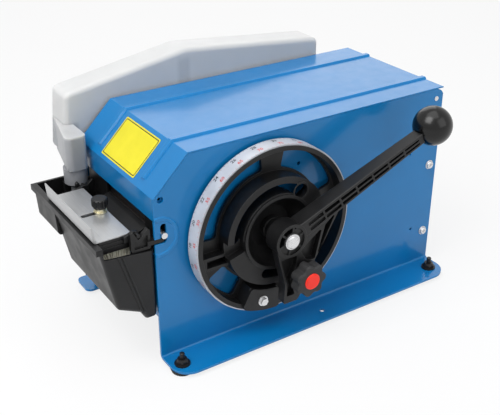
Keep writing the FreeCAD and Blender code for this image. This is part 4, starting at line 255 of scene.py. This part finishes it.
def rubber(name, color):
    s = Surface(name, color, 0.75, Specular_IOR_Level=0.3)
    s.vary_color(60.0, times(color, 0.8), times(color, 1.3))
    s.bump((s.noise(1500.0, 3.0), 0.25, 0.0002), edge=0.0006)
    return s.material


PAINTED_SHADE_COLUMN_Z = (192, 187)        # painted shade: the bottle's grey column fades in downward between these, mm
PAINTED_SHADE_COLUMN_X = (3, -3)           # and forward between these
PAINTED_SHADOW_STRIP_X = ((116, 121), (135, 130))       # painted shadow strip on the bottle's sides: its two soft edges along X
PAINTED_SHADOW_STRIP_Z = ((196, 206), (240, 232))       # and its foot and top
# strengths of the painted shade at the neck and of the painted shadow strip
PAINTED_SHADE_COLUMN_SHARE, PAINTED_SHADOW_STRIP_SHARE = 0.9, 0.30


def along_case(surface, axis, ends):
    """0 to 1 between two places of the case, in millimetres along X or Z."""
    start, end = [at(v, 0, 0).x if axis == "X" else at(0, 0, v).z for v in ends]
    return surface.along(axis, start, end)


def milky(name, color, shade):
    """Blow-moulded polyethylene: cloudy, with a greyer column of painted shade at its neck and a faint strip
    of painted shadow further back.
    """
    s = Surface(name, color, 0.42, Subsurface_Weight=0.6, Subsurface_Scale=0.02, Transmission_Weight=0.05)
    s.set("Subsurface Radius", (1.0, 0.92, 0.88))
    s.vary_color(14.0, times(color, 0.965), times(color, 1.02))
    cloudy = s.shader.inputs["Base Color"].links[0].from_socket
    below = along_case(s, "Z", PAINTED_SHADE_COLUMN_Z)
    in_front = along_case(s, "X", PAINTED_SHADE_COLUMN_X)
    edges = [along_case(s, axis, ends) for axis, pair in (("X", PAINTED_SHADOW_STRIP_X), ("Z", PAINTED_SHADOW_STRIP_Z)) for ends in pair]
    # inner is a painted shadow: a soft darker strip between these edges
    inner = s.product(*edges, PAINTED_SHADOW_STRIP_SHARE)
    # painted shade: grey column low at the front of the bottle
    column = s.mixed(s.product(below, in_front, PAINTED_SHADE_COLUMN_SHARE), cloudy, shade)
    s.link(s.mixed(inner, column, shade), s.shader.inputs["Base Color"])
    s.vary_roughness(22.0, 0.36, 0.50)
    s.bump((s.noise(700.0, 2.0), 0.06, 0.0003), (s.noise(18.0, 2.0), 0.10, 0.002), edge=0.0012)
    return s.material


def bristles(name, color):
    s = Surface(name, color, 0.8, Sheen_Weight=0.2)
    fibres = s.stretched((1800.0, 1800.0, 40.0))
    s.vary_color(1.0, times(color, 0.80), times(color, 1.15), 3.0, fibres)
    s.bump((s.noise(1.0, 2.0, fibres), 0.5, 0.0004))
    return s.material


def ink(name, color):
    """Screen-printed ink, a little uneven."""
    s = Surface(name, color, 0.5, Specular_IOR_Level=0.3)
    s.vary_color(900.0, times(color, 0.75), times(color, 1.35))
    return s.material


BLUE = (0.003, 0.172, 0.44)
BLACK = (0.0045, 0.0045, 0.005)
KNOB_GREY = (0.022, 0.022, 0.023)
MATERIALS = {
    "blue_paint": powder_coat("blue_powder_coat", BLUE),
    "black_plastic": moulded("black_moulding", BLACK, 0.44),
    "black_gloss": moulded("black_ball", (0.002, 0.002, 0.002), 0.18, 0.02, edge_highlight_share=0.0),
    "scale_white": moulded("white_scale", (0.46, 0.48, 0.52), 0.38, 0.03, 0.0002, 0.0),
    "red_plastic": moulded("red_cap", (0.86, 0.020, 0.006), 0.34, 0.04),
    "bright_steel": brushed("zinc_steel", (0.72, 0.72, 0.73), 0.28, (400.0, 30.0, 400.0), 0.9),
    "dark_steel": brushed("dark_steel", (0.025, 0.024, 0.024), 0.34, (300.0, 300.0, 60.0), 0.6),
    "blade_steel": brushed("blued_blade", (0.11, 0.10, 0.10), 0.40, (250.0, 12.0, 250.0)),
    "plate_steel": brushed("rolled_plate", (0.51, 0.515, 0.52), 0.36, (600.0, 6.0, 600.0), 0.72),
    "brass": brushed("turned_brass", (0.80, 0.74, 0.52), 0.28, (300.0, 300.0, 30.0), 0.8),
    "rubber": rubber("foot_rubber", (0.014, 0.014, 0.014)),
    "roller_rubber": rubber("roller_rubber", (0.035, 0.03, 0.028)),
    "gear_nylon": moulded("nylon", (0.62, 0.60, 0.52), 0.5),
    "bristle": bristles("bristle_hair", (0.96, 0.90, 0.74)),
    "bottle_plastic": milky("milky_bottle", (0.72, 0.71, 0.70), (0.30, 0.31, 0.33)),
    "cap_plastic": moulded("grey_cap", (0.24, 0.245, 0.26), 0.45, 0.06),
}


def dress_nodes():
    """Every CAD node takes the procedural material of its slot in the record, but the star knob has its own
    moulding.
    """
    # the star knob's edges get a weaker painted highlight
    own = {"star_knob": moulded("knob_moulding", KNOB_GREY, 0.62, 0.20, edge_highlight_share=0.25)}
    for row in frame["record"]["subparts"]:
        node = NODES[row["node"]]
        node.data.materials.clear()
        node.data.materials.append(own.get(row["node"], MATERIALS[row["material_slot"]]))


dress_nodes()


# ---- floor, light -----------------------------------------------------------------------------
FLOOR_SIZE = 12.0
FLOOR_TONE = 0.80
FLOOR_GLOW = 0.80            # share of plain white that the camera sees in the floor
AMBIENT_COLOR = (0.97, 0.98, 1.0)
AMBIENT_STRENGTH = 0.42


def seen_directly(tree):
    """1 for camera, glossy and transmission rays, from Light Path."""
    path = tree.nodes.new("ShaderNodeLightPath")
    total = path.outputs["Is Camera Ray"]
    for name in ("Is Glossy Ray", "Is Transmission Ray"):
        add = tree.nodes.new("ShaderNodeMath")
        add.operation, add.use_clamp = "ADD", True
        tree.links.new(total, add.inputs[0])
        tree.links.new(path.outputs[name], add.inputs[1])
        total = add.outputs[0]
    return total


def make_floor():
    bm = bmesh.new()
    bmesh.ops.create_grid(bm, x_segments=1, y_segments=1, size=FLOOR_SIZE / 2)
    mesh = bpy.data.meshes.new("floor")
    bm.to_mesh(mesh)
    bm.free()
    floor = bpy.data.objects.new("floor", mesh)
    bpy.context.scene.collection.objects.link(floor)
    material = bpy.data.materials.new("pale_floor")
    material.use_nodes = True
    tree = material.node_tree
    tree.nodes.clear()
    diffuse = tree.nodes.new("ShaderNodeBsdfDiffuse")
    diffuse.inputs["Color"].default_value = (FLOOR_TONE, FLOOR_TONE, FLOOR_TONE, 1.0)
    glow = tree.nodes.new("ShaderNodeEmission")
    mix = tree.nodes.new("ShaderNodeMixShader")
    share = tree.nodes.new("ShaderNodeMath")
    share.operation = "MULTIPLY"
    share.inputs[1].default_value = FLOOR_GLOW
    tree.links.new(seen_directly(tree), share.inputs[0])
    tree.links.new(share.outputs[0], mix.inputs["Fac"])
    tree.links.new(diffuse.outputs[0], mix.inputs[1])
    tree.links.new(glow.outputs[0], mix.inputs[2])
    tree.links.new(mix.outputs[0], tree.nodes.new("ShaderNodeOutputMaterial").inputs["Surface"])
    mesh.materials.append(material)


def make_world():
    world = bpy.data.worlds.new("studio")
    bpy.context.scene.world = world
    world.use_nodes = True
    tree = world.node_tree
    tree.nodes.clear()
    ambient = tree.nodes.new("ShaderNodeBackground")
    ambient.inputs["Color"].default_value = (*AMBIENT_COLOR, 1.0)
    ambient.inputs["Strength"].default_value = AMBIENT_STRENGTH
    white = tree.nodes.new("ShaderNodeBackground")
    mix = tree.nodes.new("ShaderNodeMixShader")
    tree.links.new(seen_directly(tree), mix.inputs["Fac"])
    tree.links.new(ambient.outputs[0], mix.inputs[1])
    tree.links.new(white.outputs[0], mix.inputs[2])
    tree.links.new(mix.outputs[0], tree.nodes.new("ShaderNodeOutputWorld").inputs["Surface"])


LAMP_TARGET = Vector((0, 0, 0.12))
LAMPS = (                    # name, azimuth and elevation in degrees, distance and size in metres, watts
    ("key", -75.0, 52.0, 1.8, 1.1, 22.0),
    ("fill", 20.0, 30.0, 2.2, 1.6, 9.0),
    ("top", -20.0, 85.0, 1.9, 1.6, 13.0),
    ("rim", 147.0, 30.0, 2.2, 1.5, 7.0),
)


def area_light(name, azimuth, elevation, distance, size, watts):
    """Soft square lamp that looks at the middle of the object."""
    data = bpy.data.lights.new(name, "AREA")
    data.shape, data.size, data.energy = "SQUARE", size, watts
    lamp = bpy.data.objects.new(name, data)
    bpy.context.scene.collection.objects.link(lamp)
    toward = aim(azimuth, elevation)
    lamp.location = LAMP_TARGET + toward * distance
    lamp.rotation_mode = "QUATERNION"
    lamp.rotation_quaternion = (-toward).to_track_quat("-Z", "Y")


make_floor()
make_world()
for lamp in LAMPS:
    area_light(*lamp)

bpy.context.scene.view_settings.view_transform = "Standard"


# ---- small helpers for new pieces ---------------------------------------------------------------
SMOOTH_DEG = 35.0            # sharper edges than this are shaded sharp
CORNER_STEPS = 6


def piece(name, bm, material, body):
    """New object from a bmesh, riding on a body."""
    mesh = bpy.data.meshes.new(name)
    bmesh.ops.recalc_face_normals(bm, faces=bm.faces)
    for face in bm.faces:
        face.smooth = True
    for edge in bm.edges:
        if len(edge.link_faces) == 2 and edge.calc_face_angle(0.0) > math.radians(SMOOTH_DEG):
            edge.smooth = False
    bm.to_mesh(mesh)
    bm.free()
    made = bpy.data.objects.new(name, mesh)
    bpy.context.scene.collection.objects.link(made)
    mesh.materials.append(material)
    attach(made, body)
    return made


def slab(bm, outline, depth):
    """Flat plate: its outline's points, and the same points moved by depth."""
    low = [bm.verts.new(p) for p in outline]
    high = [bm.verts.new(p + depth) for p in outline]
    bm.faces.new(low)
    bm.faces.new(high)
    for i in range(len(low)):
        bm.faces.new((low[i - 1], low[i], high[i], high[i - 1]))


def frame_slab(bm, outer, inner, depth):
    """Flat ring between two outlines of as many points."""
    rings = [[bm.verts.new(p + lift) for p in loop] for lift in (Vector(), depth) for loop in (outer, inner)]
    low_out, low_in, high_out, high_in = rings
    for i in range(len(outer)):
        for a, b in ((low_out, low_in), (low_in, high_in), (high_in, high_out), (high_out, low_out)):
            bm.faces.new((a[i - 1], a[i], b[i], b[i - 1]))


def rounded(half_u, half_v, radius):
    """Points of a rounded rectangle about the origin, as pairs."""
    points = []
    for k, (su, sv) in enumerate(((1, 1), (-1, 1), (-1, -1), (1, -1))):
        for i in range(CORNER_STEPS + 1):
            a = math.radians(90.0 * (k + i / CORNER_STEPS))
            points.append((su * (half_u - radius) + radius * math.cos(a),
                           sv * (half_v - radius) + radius * math.sin(a)))
    return points


def lathe(bm, origin, direction, profile, steps):
    """Turned shape: profile gives (millimetres along the direction, radius in millimetres)."""
    side = direction.orthogonal().normalized()
    up = direction.cross(side)
    rings = []
    for h, r in profile:
        centre = origin + direction * h * MM
        if r == 0:
            rings.append([bm.verts.new(centre)])
            continue
        turns = [2 * math.pi * i / steps for i in range(steps)]
        rings.append([bm.verts.new(centre + (side * math.cos(t) + up * math.sin(t)) * r * MM) for t in turns])
    for a, b in zip(rings, rings[1:]):
        for i in range(steps):
            if len(a) == 1:
                corners = (a[0], b[i], b[i - 1])
            elif len(b) == 1:
                corners = (a[i - 1], a[i], b[0])
            else:
                corners = (a[i - 1], a[i], b[i], b[i - 1])
            bm.faces.new(corners)


# ---- printed scale on the dial's band -----------------------------------------------------------
BAND_LOW, BAND_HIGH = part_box("scale_band")
DIAL_AXIS = (BAND_LOW + BAND_HIGH) / 2
BAND_R = (BAND_HIGH.x - BAND_LOW.x) / 2 / MM
PRINT_LIFT = 0.06            # print above the band, mm
NUMBER_STEP_DEG = 15.0
MIDDLE_NUMBER_DEG = 117.0    # where the number halfway through the count stands
TICKS_PER_NUMBER = 5
BLACK_ROW, RED_ROW = 0.27, 0.70          # share of the band's width, from the plate
NUMBER_SIZE = 5.6
DARK_COUNT, RED_COUNT = 2, 5              # what each row counts by
NUMBER_WEIGHT = 0.10         # added to the strokes on each side, mm
RED_SHIFT_DEG = 2.0          # red numbers, clockwise of the dark ones
TICK_HALF_DEG = 0.08
DARK_TICK, DARK_LONG_TICK = 0.12, 0.17    # shares of the band's width
RED_TICK, RED_LONG_TICK = 0.10, 0.15


def on_band(degrees, share):
    """Point on the band at an angle from the back, counter-clockwise, and a share of its width."""
    a = math.radians(degrees)
    r = (BAND_R + PRINT_LIFT) * MM
    y = BAND_HIGH.y + (BAND_LOW.y - BAND_HIGH.y) * share
    return Vector((DIAL_AXIS.x + r * math.cos(a), y, DIAL_AXIS.z + r * math.sin(a)))


def number_mesh(text, size):
    """Flat mesh of a number, in millimetres about its middle."""
    curve = bpy.data.curves.new("number", "FONT")
    curve.body, curve.size, curve.resolution_u = text, size, 2
    curve.offset = NUMBER_WEIGHT
    curve.align_x, curve.align_y = "CENTER", "CENTER"
    holder = bpy.data.objects.new("number", curve)
    bpy.context.scene.collection.objects.link(holder)
    bpy.context.view_layer.update()
    mesh = bpy.data.meshes.new_from_object(holder)
    bpy.data.objects.remove(holder)
    return mesh


def wrap_number(bm, text, degrees, share):
    """Number laid round the band, its top toward the plate."""
    mesh = number_mesh(text, NUMBER_SIZE)
    width = (BAND_HIGH.y - BAND_LOW.y) / MM
    turn = math.degrees(1.0 / BAND_R)
    verts = [bm.verts.new(on_band(degrees - v.co.x * turn, share - v.co.y / width)) for v in mesh.vertices]
    for polygon in mesh.polygons:
        bm.faces.new([verts[i] for i in polygon.vertices])
    bpy.data.meshes.remove(mesh)


def tick(bm, degrees, share, reach, half_deg):
    corners = ((-half_deg, share), (half_deg, share), (half_deg, share + reach), (-half_deg, share + reach))
    bm.faces.new([bm.verts.new(on_band(degrees + d, w)) for d, w in corners])


def print_scale():
    """Two rows of plain numbers and ticks, one dark and one red."""
    dark, red = bmesh.new(), bmesh.new()
    count = round(360 / NUMBER_STEP_DEG)
    for i in range(count):
        degrees = MIDDLE_NUMBER_DEG - NUMBER_STEP_DEG * (i - count // 2)
        wrap_number(dark, str(DARK_COUNT * (i + 1)), degrees, BLACK_ROW)
        wrap_number(red, str(RED_COUNT * (i + 1)), degrees - RED_SHIFT_DEG, RED_ROW)
        for k in range(TICKS_PER_NUMBER):
            here = degrees + NUMBER_STEP_DEG * k / TICKS_PER_NUMBER
            tick(dark, here, 0.0, DARK_TICK if k else DARK_LONG_TICK, TICK_HALF_DEG)
            tick(red, here, 1.0, -RED_TICK if k else -RED_LONG_TICK, TICK_HALF_DEG)
    piece("scale_print_dark", dark, ink("dark_ink", (0.03, 0.03, 0.035)), "dial")
    piece("scale_print_red", red, ink("red_ink", (0.55, 0.06, 0.05)), "dial")


print_scale()


# ---- blank label on the cover's sloping front ---------------------------------------------------
LABEL_MIDDLE = (18.2, 78.1)              # along X and Y, mm
LABEL_HALF = (34.8, 21.9)                # across, and up the slope
LABEL_CORNER = 1.6
LABEL_T = 0.25
LABEL_LIFT = 0.03            # gap below the label, and the thickness of its border, mm
BORDER_INSET, BORDER_WIDTH = 1.4, 0.9
SLOPE_FOOT_Z, SLOPE_DEG = 173.0, 45.0


def label():
    a = math.radians(SLOPE_DEG)
    across, up = Vector((0, 1, 0)), Vector((math.cos(a), 0, math.sin(a)))
    out = Vector((-math.sin(a), 0, math.cos(a)))
    x, y = LABEL_MIDDLE
    middle = at(x, y, SLOPE_FOOT_Z + x * math.tan(a))

    def loop(inset, lift):
        points = rounded(LABEL_HALF[0] - inset, LABEL_HALF[1] - inset, LABEL_CORNER)
        return [middle + (across * u + up * v + out * lift) * MM for u, v in points]
    bm = bmesh.new()
    slab(bm, loop(0.0, LABEL_LIFT), out * LABEL_T * MM)
    yellow = Surface("yellow_label", (0.70, 0.62, 0.018), 0.42, Specular_IOR_Level=0.4)
    yellow.vary_color(40.0, (0.67, 0.595, 0.016), (0.73, 0.645, 0.022))
    yellow.bump((yellow.noise(900.0, 2.0), 0.05, 0.0001), edge=0.0002)
    piece("front_label", bm, yellow.material, "cover")
    bm = bmesh.new()
    top = LABEL_LIFT + LABEL_T
    frame_slab(bm, loop(BORDER_INSET, top), loop(BORDER_INSET + BORDER_WIDTH, top), out * LABEL_LIFT * MM)
    piece("label_border", bm, ink("border_ink", (0.02, 0.02, 0.02)), "cover")


label()


# ---- bristles of the moistening brushes ---------------------------------------------------------
TUFT_PITCH, TUFT_FOOT_R, TUFT_TIP_R, TUFT_SIDES = 1.55, 0.80, 0.66, 5
TUFT_FOOT_RISE = 4.0         # feet above the bottom of the blocks, mm
TUFT_LEAN = 4.0              # how far the front row leans forward
TUFT_SPREAD, TUFT_UNEVEN = 0.35, 0.9     # tips aside, and below the top, mm
TUFT_SEED = 11


def tufts():
    """Rows of tapering tufts, the front half leaning forward, in the place of the plain blocks."""
    low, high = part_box("brush_bristles")
    draw = random.Random(TUFT_SEED)
    bm = bmesh.new()
    pitch, tip_r, sides, lean = TUFT_PITCH, TUFT_TIP_R, TUFT_SIDES, TUFT_LEAN
    width, depth = (high.y - low.y) / MM, (high.x - low.x) / MM
    base = low.z + TUFT_FOOT_RISE * MM
    rows = int((depth - lean) / pitch)
    for i in range(rows):
        for j in range(int(width / pitch)):
            x = lean + pitch * (i + 0.5)
            y = pitch * (j + 0.5 + 0.5 * (i % 2)) * width / (width + pitch)
            forward = lean * max(0.0, 1.0 - i / (rows * 0.5))
            foot = Vector((low.x + x * MM, low.y + y * MM, base))
            tip_x = x - forward + draw.uniform(-TUFT_SPREAD, TUFT_SPREAD)
            tip_y = min(width - tip_r, max(tip_r, y + draw.uniform(-TUFT_SPREAD, TUFT_SPREAD)))
            tip = Vector((low.x + max(tip_r, tip_x) * MM, low.y + tip_y * MM,
                          high.z - draw.uniform(0.0, TUFT_UNEVEN) * MM))
            rings = []
            for centre, r in ((foot, TUFT_FOOT_R), (tip, tip_r)):
                turns = [2 * math.pi * k / sides + i for k in range(sides)]
                rings.append([bm.verts.new(centre + Vector((math.cos(t), math.sin(t), 0)) * r * MM)
                              for t in turns])
            for k in range(sides):
                bm.faces.new((rings[0][k - 1], rings[0][k], rings[1][k], rings[1][k - 1]))
            bm.faces.new(rings[1])
    made = piece("bristle_tufts", bm, MATERIALS["bristle"], "housing")
    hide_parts("brush_bristles")


tufts()


# ---- dark sleeve on the shaft, between the lever's boss and the floor of the dial's dish ---------
SLEEVE_R = 11.5
SLEEVE_START, SLEEVE_LENGTH = -28.4, 18.6    # case Y just behind the lever's boss, and length, mm
SLEEVE_BORE_R = 8.2          # 0.2 mm clear of the shaft
SLEEVE_STEPS = 48
SLEEVE_ROUND = 0.4           # broken corner at its far end
GROOVE_SHARES, GROOVE_DEPTH = (0.62, 0.66, 0.70), 0.6    # places along the sleeve, and mm


def shaft_sleeve():
    start = Vector((DIAL_AXIS.x, at(0, SLEEVE_START, 0).y, DIAL_AXIS.z))
    bm = bmesh.new()
    end = SLEEVE_LENGTH
    near, deep, far = [end * share for share in GROOVE_SHARES]
    profile = [(0, SLEEVE_BORE_R), (0, SLEEVE_R), (near, SLEEVE_R), (deep, SLEEVE_R - GROOVE_DEPTH),
               (far, SLEEVE_R), (end - SLEEVE_ROUND, SLEEVE_R), (end, SLEEVE_R - SLEEVE_ROUND),
               (end, SLEEVE_BORE_R)]
    lathe(bm, start, Vector((0, 1, 0)), profile, SLEEVE_STEPS)
    piece("shaft_sleeve", bm, MATERIALS["black_plastic"], "lever")


shaft_sleeve()


# ---- panel screws with a cross recess -----------------------------------------------------------
SCREW_WASHER_R, SCREW_WASHER_T = 5.2, 0.8
SCREW_HEAD_R, SCREW_HEAD_T = 4.2, 2.4
CROSS_REACH, CROSS_HALF, CROSS_DEPTH = 2.3, 0.55, 1.3
CROSS_FLOOR_SHARE = 0.7      # floor of the recess, to its mouth
FLAT_INSET = 1.2             # flat end of the head inside its rim
WASHER_BEVEL = 0.2
HEAD_DOME = ((1.0, 0.0), (0.45, 0.35), (0.1, 0.85))    # below the flat end, and inside the rim
HEAD_STEPS = 36
SCREW_SEED = 5


def cross_outline():
    r, h = CROSS_REACH, CROSS_HALF
    return [(r, -h), (r, h), (h, h), (h, r), (-h, r), (-h, h), (-r, h), (-r, -h), (-h, -h), (-h, -r),
            (h, -r), (h, -h)]


def screw_head(bm, origin, direction, turn):
    """Washer and pan head; the head's flat end is cut by a cross recess."""
    top = SCREW_WASHER_T + SCREW_HEAD_T
    flat_r = SCREW_HEAD_R - FLAT_INSET
    washer = [(0, 0), (0, SCREW_WASHER_R - WASHER_BEVEL), (WASHER_BEVEL, SCREW_WASHER_R),
              (SCREW_WASHER_T - WASHER_BEVEL, SCREW_WASHER_R),
              (SCREW_WASHER_T, SCREW_WASHER_R - WASHER_BEVEL), (SCREW_WASHER_T, SCREW_HEAD_R)]
    dome = [(top - drop, SCREW_HEAD_R - inset) for drop, inset in HEAD_DOME]
    lathe(bm, origin, direction, washer, HEAD_STEPS)
    lathe(bm, origin, direction, [(SCREW_WASHER_T, SCREW_HEAD_R), *dome, (top, flat_r)], HEAD_STEPS)
    side = direction.orthogonal().normalized()
    up = direction.cross(side)

    def on_top(u, v, h):
        c, s = math.cos(turn), math.sin(turn)
        return origin + (side * (u * c - v * s) + up * (u * s + v * c) + direction * h) * MM
    rim = [bm.verts.new(on_top(flat_r * math.cos(t), flat_r * math.sin(t), top))
           for t in [2 * math.pi * i / HEAD_STEPS for i in range(HEAD_STEPS)]]
    cross = [bm.verts.new(on_top(u, v, top)) for u, v in cross_outline()]
    floor = [bm.verts.new(on_top(u * CROSS_FLOOR_SHARE, v * CROSS_FLOOR_SHARE, top - CROSS_DEPTH))
             for u, v in cross_outline()]
    edges = [bm.edges.new((ring[i - 1], ring[i])) for ring in (rim, cross) for i in range(len(ring))]
    bmesh.ops.triangle_fill(bm, edges=edges, use_beauty=True, use_dissolve=False, normal=direction)
    for i in range(len(cross)):
        bm.faces.new((cross[i - 1], cross[i], floor[i], floor[i - 1]))
    bm.faces.new(floor)


def panel_screws():
    low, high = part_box("case_screws")
    inset = SCREW_WASHER_R * MM
    x = low.x + inset
    draw = random.Random(SCREW_SEED)
    bm = bmesh.new()
    for z in (low.z + inset, high.z - inset):
        for y, side in ((at(0, 0, 0).y, -1), (low.y + high.y - at(0, 0, 0).y, 1)):
            screw_head(bm, Vector((x, y, z)), Vector((0, side, 0)), draw.uniform(0, math.pi / 2))
    made = piece("panel_screws", bm, MATERIALS["bright_steel"], "housing")
    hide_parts("case_screws")


panel_screws()
